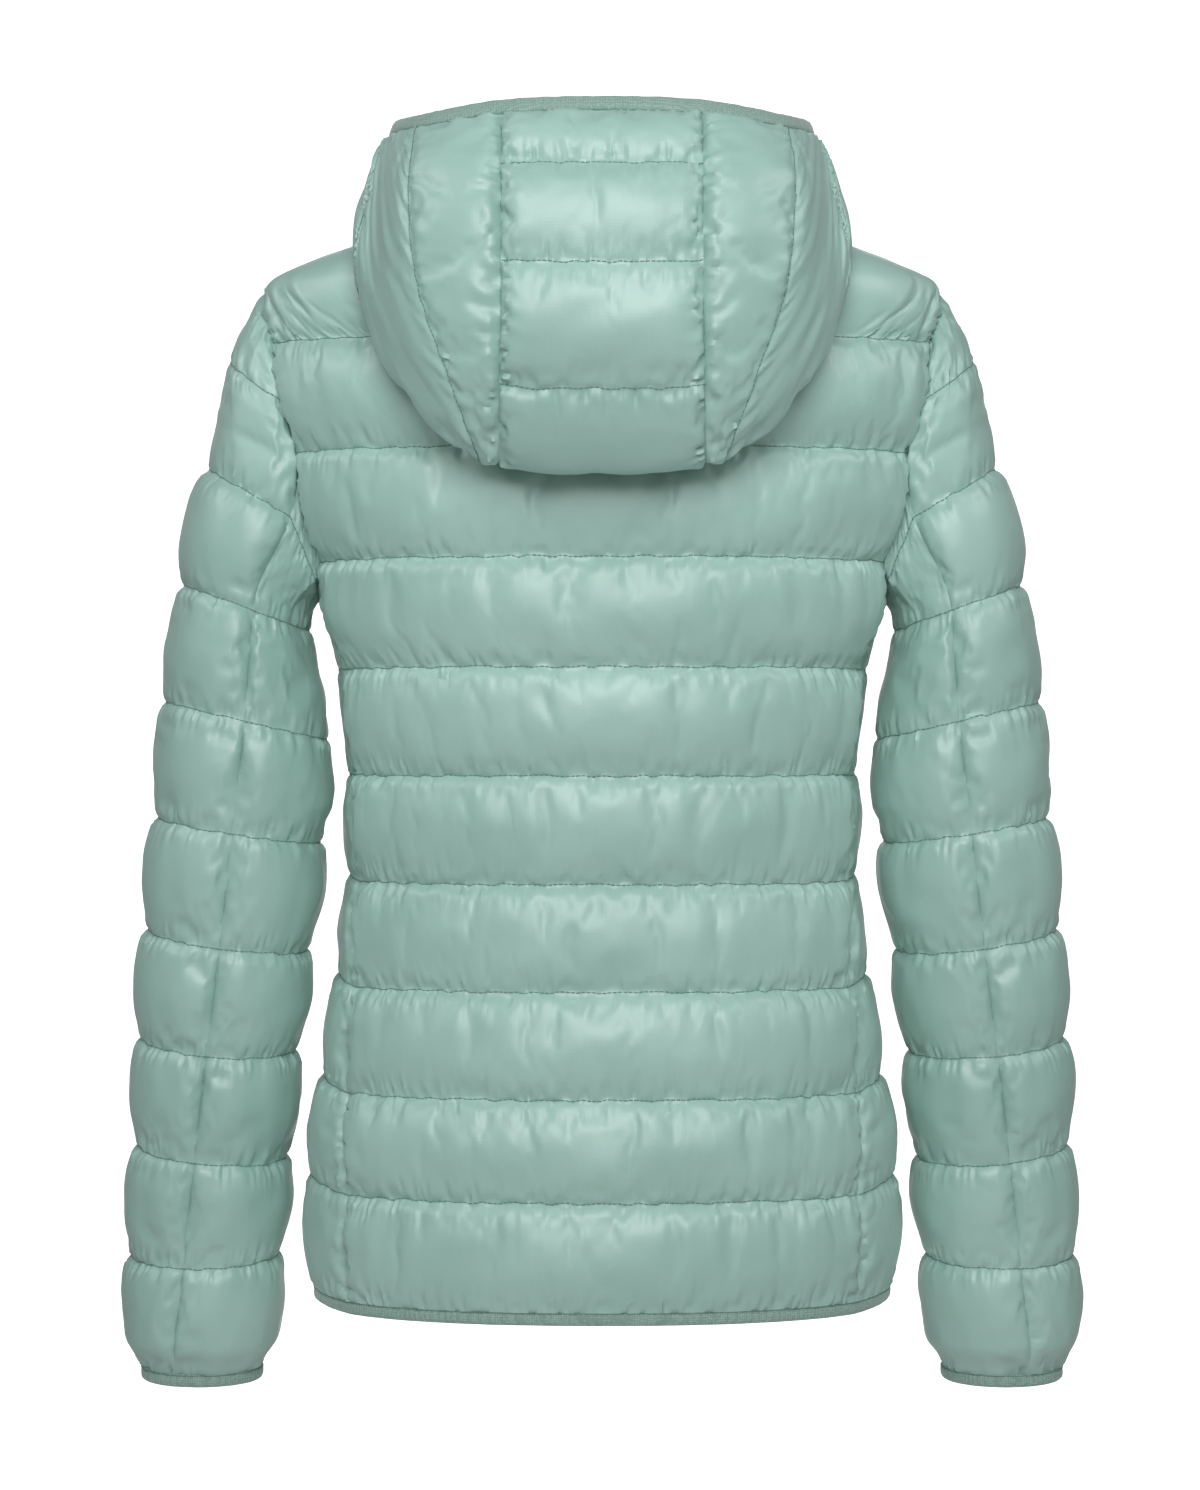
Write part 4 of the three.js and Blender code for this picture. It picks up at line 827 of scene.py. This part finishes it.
def border(rows, columns):
    loop = [(0, j) for j in range(columns - 1)] + [(i, columns - 1) for i in range(rows - 1)]
    loop += [(rows - 1, j) for j in range(columns - 1, 0, -1)] + [(i, 0) for i in range(rows - 1, 0, -1)]
    return loop


def panelPiece(panel, material):
    rows, columns = panel["grid"].shape[:2]
    outer, baseFine = refine(refine(panel["raised"], 0), 1), refine(refine(panel["grid"], 0), 1)
    fineRows, fineColumns = outer.shape[:2]
    lines = [2 * i for i in panel["lineRows"]], [2 * i for i in panel["lineColumns"]]
    seed = panel["seed"] + (100 if panel["mirror"] else 0)
    gathered = wrinkles(baseFine, *lines, seed, panel.get("seam", gathers["seam"]))
    outer = outer + gridNormals(outer, panel["outward"]) * gathered[..., None]
    outer += waver(baseFine, *lines, seed)
    panel["surface"], panel["lines"] = outer, lines
    inner = panel["grid"] - panel["direction"] * cut["wall"]
    for g in (outer, inner):
        sides = unit(g[:, 0] - g[:, 1]) * cut["overlap"], unit(g[:, -1] - g[:, -2]) * cut["overlap"]
        ends = unit(g[0] - g[1]) * cut["overlap"], unit(g[-1] - g[-2]) * cut["overlap"]
        g[:, 0] += sides[0]
        g[:, -1] += sides[1]
        g[0] += ends[0]
        g[-1] += ends[1]
    across, up = runLengths(baseFine, 1), runLengths(baseFine, 0)
    count = fineRows * fineColumns
    vertices = np.concatenate([outer.reshape(-1, 3), inner.reshape(-1, 3)]) * mm
    faces = gridQuads(fineRows, fineColumns).tolist()
    faces += (gridQuads(rows, columns)[:, ::-1] + count).tolist()
    loop = border(rows, columns)
    for (i, j), (k, l) in zip(loop, loop[1:] + loop[:1]):
        a, b = 2 * i * fineColumns + 2 * j, 2 * k * fineColumns + 2 * l
        faces.append([b, (a + b) // 2, a, count + i * columns + j, count + k * columns + l])
    flip = panel["outward"] < 0
    if panel["mirror"]:
        vertices[:, 0] *= -1
        panel["surface"] = mirrored(outer)
        flip = not flip
    if flip:
        faces = [f[::-1] for f in faces]
    piece = meshObject(panel["name"] + "_padded", vertices.tolist(), faces, material)
    layer = piece.data.uv_layers.new(name="cloth")
    flat = np.concatenate([
        np.stack([across, up], -1).reshape(-1, 2),
        np.stack([across[::2, ::2], up[::2, ::2]], -1).reshape(-1, 2),
    ]) / 100  # one unit of the map is 100 mm of cloth
    corner = np.empty(len(piece.data.loops), int)
    piece.data.loops.foreach_get("vertex_index", corner)
    layer.data.foreach_set("uv", flat[corner].ravel())
    return piece


# Materials.
def colour(hexValue):
    channels = [int(hexValue[i : i + 2], 16) / 255 for i in (1, 3, 5)]
    return [c / 12.92 if c <= 0.04045 else ((c + 0.055) / 1.055) ** 2.4 for c in channels] + [1.0]


def addNode(tree, kind, settings=None, inputs=None, links=None):
    # a node with its settings, its fixed inputs, and links as {input: (node, output)}
    node = tree.nodes.new(kind)
    for name, value in (settings or {}).items():
        setattr(node, name, value)
    for name, value in (inputs or {}).items():
        node.inputs[name].default_value = value
    for name, (source, output) in (links or {}).items():
        tree.links.new(source.outputs[output], node.inputs[name])
    return node


def newMaterial(name):
    material = bpy.data.materials.new(name)
    material.use_nodes = True
    material.node_tree.nodes.clear()
    return material, material.node_tree


def colourRamp(tree, source, low, high, stops=(0, 1)):
    ramp = addNode(tree, "ShaderNodeValToRGB", {}, {}, {"Fac": source})
    for element, stop, tone in zip(ramp.color_ramp.elements, stops, (low, high)):
        element.position, element.color = stop, colour(tone)
    return ramp, "Color"


def bumpNode(tree, source, strength, distance, under=None, invert=False):
    links = {"Height": source, "Normal": under} if under else {"Height": source}
    sizes = {"Strength": strength, "Distance": distance}
    return addNode(tree, "ShaderNodeBump", {"invert": invert}, sizes, links), "Normal"


def surfaceNode(tree, inputs, links):
    shade = addNode(tree, "ShaderNodeBsdfPrincipled", {}, inputs, links)
    addNode(tree, "ShaderNodeOutputMaterial", {}, {}, {"Surface": (shade, "BSDF")})


def bandScale(pitch, unitLength):
    # the wave texture's scale for one band each pitch, on a map whose unit is unitLength
    return unitLength / pitch / 20 * math.pi


# Calendered nylon taffeta, woven from flat filaments and pressed: a soft broad gloss over a pale sage ground,
# with the thread pitch of 0.3 mm drawn at 0.9 mm so that it shows.
taffeta = {"light": "#9DC0B6", "dark": "#93B7AD", "roughness": 0.46, "gloss": 0.75,
           "thread": 0.9, "weaveDepth": 0.0002,
           "crease": 11.0, "creaseSlant": 0.45, "creaseLong": 2.6, "creaseDepth": 0.0009}


def nylonTaffeta():
    material, tree = newMaterial("calendered nylon taffeta")
    place = addNode(tree, "ShaderNodeUVMap", {"uv_map": "cloth"})
    body = addNode(tree, "ShaderNodeTexCoord")
    cloud = addNode(tree, "ShaderNodeTexNoise", {}, {"Scale": 9.0, "Detail": 3.0, "Roughness": 0.5},
                    {"Vector": (body, "Object")})
    tint = colourRamp(tree, (cloud, "Fac"), taffeta["dark"], taffeta["light"], (0.35, 0.65))
    waves = []
    for direction in ("X", "Y"):
        settings = {"bands_direction": direction, "wave_profile": "SIN"}
        inputs = {"Scale": bandScale(taffeta["thread"], 100), "Distortion": 0.4, "Detail": 1.0}
        waves.append(addNode(tree, "ShaderNodeTexWave", settings, inputs, {"Vector": (place, "UV")}))
    weave = addNode(tree, "ShaderNodeMath", {"operation": "MULTIPLY"})
    tree.links.new(waves[0].outputs["Fac"], weave.inputs[0])
    tree.links.new(waves[1].outputs["Fac"], weave.inputs[1])
    scale = 100 / taffeta["crease"]
    turned = {"Rotation": (0, 0, taffeta["creaseSlant"]), "Scale": (scale, scale / taffeta["creaseLong"], 1)}
    stretch = addNode(tree, "ShaderNodeMapping", {}, turned, {"Vector": (place, "UV")})
    crease = addNode(tree, "ShaderNodeTexNoise", {"noise_type": "RIDGED_MULTIFRACTAL"},
                     {"Scale": 1.0, "Detail": 2.0, "Roughness": 0.4, "Distortion": 0.7},
                     {"Vector": (stretch, "Vector")})
    creased = bumpNode(tree, (crease, "Fac"), 0.35, taffeta["creaseDepth"])
    woven = bumpNode(tree, (weave, "Value"), 0.12, taffeta["weaveDepth"], creased)
    surfaceNode(tree, {"Roughness": taffeta["roughness"], "Specular IOR Level": taffeta["gloss"], "IOR": 1.53,
                       "Sheen Weight": 0.12, "Sheen Roughness": 0.4}, {"Base Color": tint, "Normal": woven})
    return material


# Knitted elastic binding with a small bird's-eye figure: matt, darker than the shell, and flecked where the
# white core shows.
elastic = {"ground": "#76948A", "fleck": "#93AFA6", "pitch": 1.4, "roughness": 0.65}


def elasticBinding():
    material, tree = newMaterial("knitted elastic binding")
    body = addNode(tree, "ShaderNodeTexCoord")
    cells = addNode(tree, "ShaderNodeTexVoronoi", {"feature": "F1"},
                    {"Scale": 1000 / elastic["pitch"], "Randomness": 0.35}, {"Vector": (body, "Object")})
    tint = colourRamp(tree, (cells, "Distance"), elastic["fleck"], elastic["ground"], (0.25, 0.6))
    knit = bumpNode(tree, (cells, "Distance"), 0.5, 0.0003, invert=True)
    surfaceNode(tree, {"Roughness": elastic["roughness"], "Sheen Weight": 0.3, "Sheen Roughness": 0.5},
                {"Base Color": tint, "Normal": knit})
    return material


# Woven polyester zip tape: matt, with a fine herringbone that reads as slanting ribs.
tape = {"light": "#93B8AB", "dark": "#7C9F93", "rib": 1.2}


def wovenTape():
    material, tree = newMaterial("woven polyester tape")
    body = addNode(tree, "ShaderNodeTexCoord")
    ribs = addNode(tree, "ShaderNodeTexWave", {"bands_direction": "DIAGONAL"},
                   {"Scale": bandScale(tape["rib"], 1000), "Distortion": 0.2}, {"Vector": (body, "Object")})
    tint = colourRamp(tree, (ribs, "Fac"), tape["dark"], tape["light"])
    ribbed = bumpNode(tree, (ribs, "Fac"), 0.4, 0.0002)
    surfaceNode(tree, {"Roughness": 0.8, "Sheen Weight": 0.2}, {"Base Color": tint, "Normal": ribbed})
    return material


# Stove enamel on zinc, sprayed and baked: smooth, with a faint orange peel.
def bakedEnamel():
    material, tree = newMaterial("baked enamel on zinc")
    body = addNode(tree, "ShaderNodeTexCoord")
    peel = addNode(tree, "ShaderNodeTexNoise", {}, {"Scale": 900.0, "Detail": 2.0},
                   {"Vector": (body, "Object")})
    tint = colourRamp(tree, (peel, "Fac"), "#86AC9F", "#92B6AA")
    dimpled = bumpNode(tree, (peel, "Fac"), 0.15, 0.0001)
    surfaceNode(tree, {"Roughness": 0.3, "Coat Weight": 0.3, "Coat Roughness": 0.1},
                {"Base Color": tint, "Normal": dimpled})
    return material


# Spun polyester sewing thread, two plies twisted: matt, slightly darker than the cloth.
def sewingThread():
    material, tree = newMaterial("spun polyester thread")
    body = addNode(tree, "ShaderNodeTexCoord")
    ply = addNode(tree, "ShaderNodeTexNoise", {}, {"Scale": 2500.0, "Detail": 1.0},
                  {"Vector": (body, "Object")})
    tint = colourRamp(tree, (ply, "Fac"), "#5C8277", "#789E92")
    surfaceNode(tree, {"Roughness": 0.65}, {"Base Color": tint})
    return material


# Matt seamless paper with a painted pool of light: the paper glows by itself round a point behind the
# garment, with no lamp to throw it, sizes in metres.
paper = {"colour": "#F4F4F4", "glow": 1.0, "pool": 3.6, "height": -0.3, "back": -4.6, "edge": (0.36, 0.5)}


def paperWithPaintedGlow():
    material, tree = newMaterial("matt seamless paper with painted glow")
    body = addNode(tree, "ShaderNodeTexCoord")
    place = addNode(tree, "ShaderNodeMapping", {"vector_type": "POINT"}, {
        "Location": (0, -paper["back"] / paper["pool"], -paper["height"] / paper["pool"]),
        "Scale": (1 / paper["pool"], 1 / paper["pool"], 1 / paper["pool"])}, {"Vector": (body, "Object")})
    pool = addNode(tree, "ShaderNodeTexGradient", {"gradient_type": "SPHERICAL"}, {},
                   {"Vector": (place, "Vector")})
    # painted light: the paper's own emission, full in the pool and fading to none at its edge, so the paper
    # glows although no lamp lights it
    glow = addNode(tree, "ShaderNodeMapRange", {"interpolation_type": "SMOOTHSTEP"}, {
        "From Min": paper["edge"][0], "From Max": paper["edge"][1], "To Min": 0.0, "To Max": paper["glow"],
    }, {"Value": (pool, "Fac")})
    surfaceNode(tree, {"Base Color": colour(paper["colour"]), "Roughness": 0.9,
                       "Emission Color": colour("#FFFFFF")}, {"Emission Strength": (glow, "Result")})
    return material


shellCloth, bindingCloth, tapeCloth, enamel = nylonTaffeta(), elasticBinding(), wovenTape(), bakedEnamel()
thread = sewingThread()
print("materials made")

panels = [makeBack(), makeHoodCentre()]
for side in ("left", "right"):
    panels += [makeFront(side), makeUpper(side), makeUnder(side), makeHoodSide(side)]
# The end of each shoulder seam stands up a little, where the armhole seam gathers.
shoulder = {"at": (212, 0, -46), "reach": 38, "rise": 4.5, "towards": (0.6, 0, 0.8), "calm": 0.75}


def nearShoulder(grid):
    return np.exp(-((np.linalg.norm(grid - shoulder["at"], axis=-1) / shoulder["reach"]) ** 2))


for panel in panels:
    near, far = nearShoulder(panel["grid"]), nearShoulder(mirrored(panel["grid"]))
    towards = shoulder["rise"] * np.array(shoulder["towards"])
    panel["grid"] = panel["grid"] + near[..., None] * towards + far[..., None] * mirrored(towards)
    panel["limit"] = panel["limit"] * (1 - shoulder["calm"] * (near + far))
    panel["normal"] = gridNormals(panel["grid"], panel["outward"])
    panel["direction"] = thicknessDirection(panel)
    print(panel["name"], "grid", panel["grid"].shape)
inflate(panels)
print("channels filled")
for panel in panels:
    piece = panelPiece(panel, shellCloth)
    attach(piece, "garment")
    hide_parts(panel["name"])
print("panels sewn")

# Bindings: a knitted elastic strip folded over the raw edge, drawn in a little by its own pull.
binding = {
    "width": 8.5, "hoodWidth": 11.0, "half": 1.9, "middle": -1.3, "ring": 14, "square": 2.6, "step": 2.4,
    "pull": 0.3, "pullWave": 3.2, "stitchDown": 1.5,
    "hemUp": 0.9, "cuffOut": 2.2, "cuffUp": 1.6, "hoodDown": 1.0,  # how far each strip reaches over its edge
}


def bindingPiece(name, path, out, down, closed, seed, material, width):
    # path, out and down are given along the top edge of the strip
    length = runLengths(path[:, None], 0)[:, 0]
    count = max(int(length[-1] / binding["step"]), 12)
    at = np.linspace(0, length[-1], count + 1)
    dense = [np.stack([np.interp(at, length, v[:, n]) for n in range(3)], -1) for v in (path, out, down)]
    if closed:
        dense = [v[:-1] for v in dense]
        at = at[:-1]
    path, out, down = dense[0], unit(dense[1]), unit(dense[2])
    turn = np.arange(binding["ring"]) * 2 * math.pi / binding["ring"]
    power = 2 / binding["square"]
    across = np.abs(np.cos(turn)) ** power * np.sign(np.cos(turn)) * binding["half"] + binding["middle"]
    low = (1 - np.abs(np.sin(turn)) ** power * np.sign(np.sin(turn))) * width / 2
    rounds = np.broadcast_to(low / 5, (len(at), len(low)))
    drawn = latticeNoise(at[:, None] / binding["pullWave"], rounds, seed)
    around = out[:, None] * (across + binding["pull"] * drawn)[..., None]
    sections = path[:, None] + around + down[:, None] * low[None, :, None]
    rows, columns = sections.shape[:2]
    index = np.arange(rows * columns).reshape(rows, columns)
    index = np.concatenate([index, index[:, :1]], 1)
    if closed:
        index = np.concatenate([index, index[:1]], 0)
    faces = np.stack([index[:-1, :-1], index[:-1, 1:], index[1:, 1:], index[1:, :-1]], -1).reshape(-1, 4)
    flat = sections.reshape(-1, 3)
    p, q, r, s = (flat[faces[:, n]] for n in range(4))
    volume = (p * (np.cross(q, r) + np.cross(r, s))).sum()
    faces = faces.tolist()
    if not closed:
        faces += [index[0, :-1].tolist()[::-1], index[-1, :-1].tolist()]
    if volume < 0:
        faces = [f[::-1] for f in faces]
    piece = meshObject(name + "_knitted", (flat * mm).tolist(), faces, material)
    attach(piece, "garment")
    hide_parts(name)
    stitched = path + out * (binding["middle"] + binding["half"] - 0.05) + down * binding["stitchDown"]
    return np.concatenate([stitched, stitched[:1]]) if closed else stitched


def hemEdge():
    z = bodyLines["z"][0]
    zipAngle = float(bodyAngle(zh, z, -1))
    angle = np.linspace(-zipAngle, zipAngle, 241)
    seam = float(bodyAngle(readTable(sideSeam, "z", "x", z), z, 1))
    turn = np.clip((np.abs(angle) - seam) / liftTurn, 0, 1)
    height = z + bodyLines["lift"][0] * np.sin(turn * math.pi / 2) + binding["hemUp"]
    path = bodyPoint(angle, height)
    ahead = np.gradient(path, axis=0)
    out = unit(np.stack([-ahead[:, 1], ahead[:, 0], 0 * ahead[:, 0]], -1))
    out *= np.sign((out * path).sum(-1, keepdims=True))
    return path, out, np.tile([0, 0, -1.0], (len(path), 1))


def cuffEdge(side):
    angle = np.linspace(0, 2 * math.pi, 97)
    centre = np.array([sleeveRings[c][-1] for c in ("x", "y", "z")], float)
    path = sleevePoint(angle, 10.0)
    out = path - centre
    out[:, 2] = 0
    out, down = unit(out), np.tile([0, 0, -1.0], (len(path), 1))
    path = path + out * binding["cuffOut"] + np.array([0, 0, binding["cuffUp"]])
    return (mirrored(path), mirrored(out), down) if side == "right" else (path, out, down)


def hoodEdge():
    stations = np.concatenate([np.linspace(7, 0, 85), np.linspace(0, 7, 85)[1:]])
    signs = np.concatenate([np.ones(85), -np.ones(84)])
    path, up = [], []
    for station, sign in zip(stations, signs):
        edge, below = hoodPoint(station, hoodTop), hoodPoint(station, hoodTop - 0.2)
        rise = unit(edge - below)
        path.append((edge - rise * binding["hoodDown"]) * (sign, 1, 1))
        up.append(rise * (sign, 1, 1))
    path, up = np.array(path), np.array(up)
    out = unit(np.cross(up, unit(np.gradient(path, axis=0))))
    # the strip stands on the edge, so its own top is the seam
    return path, out, up


stitchPaths = [
    bindingPiece("hem_binding", *hemEdge(), False, 71, bindingCloth, binding["width"]),
    bindingPiece("hood_binding", *hoodEdge(), False, 72, bindingCloth, binding["hoodWidth"]),
]
for side in ("left", "right"):
    name = "cuff_binding_" + side
    stitchPaths.append(bindingPiece(name, *cuffEdge(side), True, 73, bindingCloth, binding["width"]))
print("bindings made")

stitch = {"pitch": 3.0, "length": 2.3, "radius": 0.34, "above": 0.22}
for panel in panels:
    surface = panel["surface"]
    top = surface + gridNormals(surface, panel["outward"] * (-1 if panel["mirror"] else 1)) * stitch["above"]
    rowLines, columnLines = panel["lines"]
    stitchPaths += [top[i, 1:-1] for i in rowLines] + [top[1:-1, j] for j in columnLines]


def cylinderTree(name, cylinder, sizes, material):
    # short cylinders at even steps on a path, lengthwise on it or square across it
    tree = bpy.data.node_groups.new(name, "GeometryNodeTree")
    tree.interface.new_socket("Geometry", in_out="INPUT", socket_type="NodeSocketGeometry")
    for label, value in sizes.items():
        tree.interface.new_socket(label, in_out="INPUT", socket_type="NodeSocketFloat").default_value = value
    tree.interface.new_socket("Geometry", in_out="OUTPUT", socket_type="NodeSocketGeometry")
    start = addNode(tree, "NodeGroupInput")
    curve = addNode(tree, "GeometryNodeMeshToCurve", {}, {}, {"Mesh": (start, "Geometry")})
    spaced = addNode(tree, "GeometryNodeResampleCurve", {"mode": "LENGTH"}, {},
                     {"Curve": (curve, "Curve"), "Length": (start, "Pitch")})
    single = addNode(tree, "GeometryNodeMeshCylinder", {"fill_type": cylinder["fill"]},
                     {"Vertices": cylinder["sides"]},
                     {"Radius": (start, "Radius"), "Depth": (start, "Length")})
    turns, links = {"Rotation": (0, math.pi / 2, 0)}, {}
    if cylinder["lengthwise"]:
        tangent = addNode(tree, "GeometryNodeInputTangent")
        turn = addNode(tree, "FunctionNodeAlignRotationToVector", {"axis": "Z"}, {},
                       {"Vector": (tangent, "Tangent")})
        turns, links = {}, {"Rotation": (turn, "Rotation")}
    links.update({"Points": (spaced, "Curve"), "Instance": (single, "Mesh")})
    placed = addNode(tree, "GeometryNodeInstanceOnPoints", {}, turns, links)
    real = addNode(tree, "GeometryNodeRealizeInstances", {}, {}, {"Geometry": (placed, "Instances")})
    soft = addNode(tree, "GeometryNodeSetShadeSmooth", {}, {"Shade Smooth": cylinder["lengthwise"]},
                   {"Geometry": (real, "Geometry")})
    dressed = addNode(tree, "GeometryNodeSetMaterial", {}, {"Material": material},
                      {"Geometry": (soft, "Geometry")})
    addNode(tree, "NodeGroupOutput", {}, {}, {"Geometry": (dressed, "Geometry")})
    return tree


def repeatedPiece(name, paths, cylinder, sizes, material):
    # runs a tree on loose paths and keeps its result as a plain mesh
    vertices, edges = [], []
    for path in paths:
        first = len(vertices)
        vertices += (path * mm).tolist()
        edges += [(first + i, first + i + 1) for i in range(len(path) - 1)]
    data = bpy.data.meshes.new(name + "_paths")
    data.from_pydata(vertices, edges, [])
    source = bpy.data.objects.new(name + "_paths", data)
    bpy.context.scene.collection.objects.link(source)
    modifier = source.modifiers.new("repeat", "NODES")
    values = {"Pitch": sizes["pitch"] * mm, "Length": sizes["length"] * mm, "Radius": sizes["radius"] * mm}
    modifier.node_group = cylinderTree(name, cylinder, values, material)
    for socket in modifier.node_group.interface.items_tree:
        if socket.in_out == "INPUT" and socket.name in values:
            modifier[socket.identifier] = values[socket.name]
    graph = bpy.context.evaluated_depsgraph_get()
    result = bpy.data.meshes.new_from_object(source.evaluated_get(graph))
    result.name = name
    bpy.data.objects.remove(source)
    piece = bpy.data.objects.new(name, result)
    bpy.context.scene.collection.objects.link(piece)
    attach(piece, "garment")
    return piece


lockstitch = {"fill": "TRIANGLE_FAN", "sides": 5, "lengthwise": True}
repeatedPiece("quilting_stitches", stitchPaths, lockstitch, stitch, thread)
print("stitches sewn")

# Zip.
coil = {"pitch": 1.6, "length": 4.8, "radius": 0.6, "start": 12, "top": -17, "points": 200, "sunk": 0.05}
coilTooth = {"fill": "NGON", "sides": 10, "lengthwise": False}


def frontLine(z):
    # down the fronts' edges, and above the neck seam up the hood's
    foot, (_, hoodY, hoodZ) = neckline["z"][-1], hoodSections["edge"][-1]
    y = bodyPoint(bodyAngle(zh, z, -1), z)[..., 1]
    share = np.clip((z - foot) / (hoodZ - foot), 0, 1)
    return np.where(z > foot, lerp(neckPoints[-1][1], hoodY, share), y)


zipHeights = np.linspace(bodyLines["z"][0] + coil["start"], coil["top"], coil["points"])
zipLine = np.stack([0 * zipHeights, frontLine(zipHeights) - coil["sunk"], zipHeights], -1)
repeatedPiece("zip_teeth", [zipLine], coilTooth, coil, enamel)

for node, material in (
    ("zip_tape_left", tapeCloth), ("zip_tape_right", tapeCloth),
    ("zip_slider", enamel), ("zip_pull_tab", enamel), ("zip_box", enamel),
):
    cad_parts[node].data.materials.clear()
    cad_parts[node].data.materials.append(material)
print("zip made")

# Stage.
stageSizes = {"floor": -1500, "back": -4600, "reach": 9000, "radius": 1100, "top": 6000, "bend": 24}


def sweep():
    floor, back, reach, radius = (stageSizes[k] for k in ("floor", "back", "reach", "radius"))
    profile = [(reach, floor)]
    for a in np.linspace(0, math.pi / 2, stageSizes["bend"]):
        profile.append((back + radius - radius * math.sin(a), floor + radius - radius * math.cos(a)))
    profile.append((back, stageSizes["top"]))
    vertices = [(x * mm, y * mm, z * mm) for x in (-reach, reach) for y, z in profile]
    n = len(profile)
    faces = [(i, i + 1, n + i + 1, n + i) for i in range(n - 1)]
    piece = meshObject("paper_sweep", vertices, faces, paperWithPaintedGlow())


sweep()
roomLight = 0.08
world = bpy.data.worlds.new("studio")
bpy.context.scene.world = world
world.use_nodes = True
world.node_tree.nodes["Background"].inputs["Color"].default_value = (1, 1, 1, 1)
world.node_tree.nodes["Background"].inputs["Strength"].default_value = roomLight

lights = {
    "key": {"at": (0, 2300, 900), "aim": (0, 60, -250), "size": 1600, "power": 47},
    "camera": {"at": (0, 2500, -200), "aim": (0, 60, -250), "size": 1500, "power": 4},
    "left": {"at": (1450, 500, 900), "aim": (150, 60, -60), "size": 700, "power": 8},
    "right": {"at": (-1450, 500, 900), "aim": (-150, 60, -60), "size": 700, "power": 8},
    "front": {"at": (0, -2400, 900), "aim": (0, -60, -250), "size": 1200, "power": 14},
}
for name, light in lights.items():
    lamp = bpy.data.lights.new(name, "AREA")
    lamp.shape, lamp.size, lamp.energy = "DISK", light["size"] * mm, light["power"]
    holder = bpy.data.objects.new(name, lamp)
    holder.location = Vector(light["at"]) * mm
    holder.rotation_euler = (Vector(light["aim"]) - Vector(light["at"])).to_track_quat("-Z", "Y").to_euler()
    bpy.context.scene.collection.objects.link(holder)

view = {"distance": 2400, "x": 1.2, "z": -303, "lens": 96.6}
camera = bpy.data.cameras.new("camera")
camera.lens, camera.sensor_width = view["lens"], 36
camera.clip_start, camera.clip_end = 0.1, 30
cameraObject = bpy.data.objects.new("camera", camera)
cameraObject.location = (view["x"] * mm, view["distance"] * mm, view["z"] * mm)
cameraObject.rotation_euler = (math.pi / 2, 0, math.pi)
bpy.context.scene.view_settings.view_transform = "Standard"
bpy.context.scene.collection.objects.link(cameraObject)
bpy.context.scene.camera = cameraObject
print("stage and camera set")
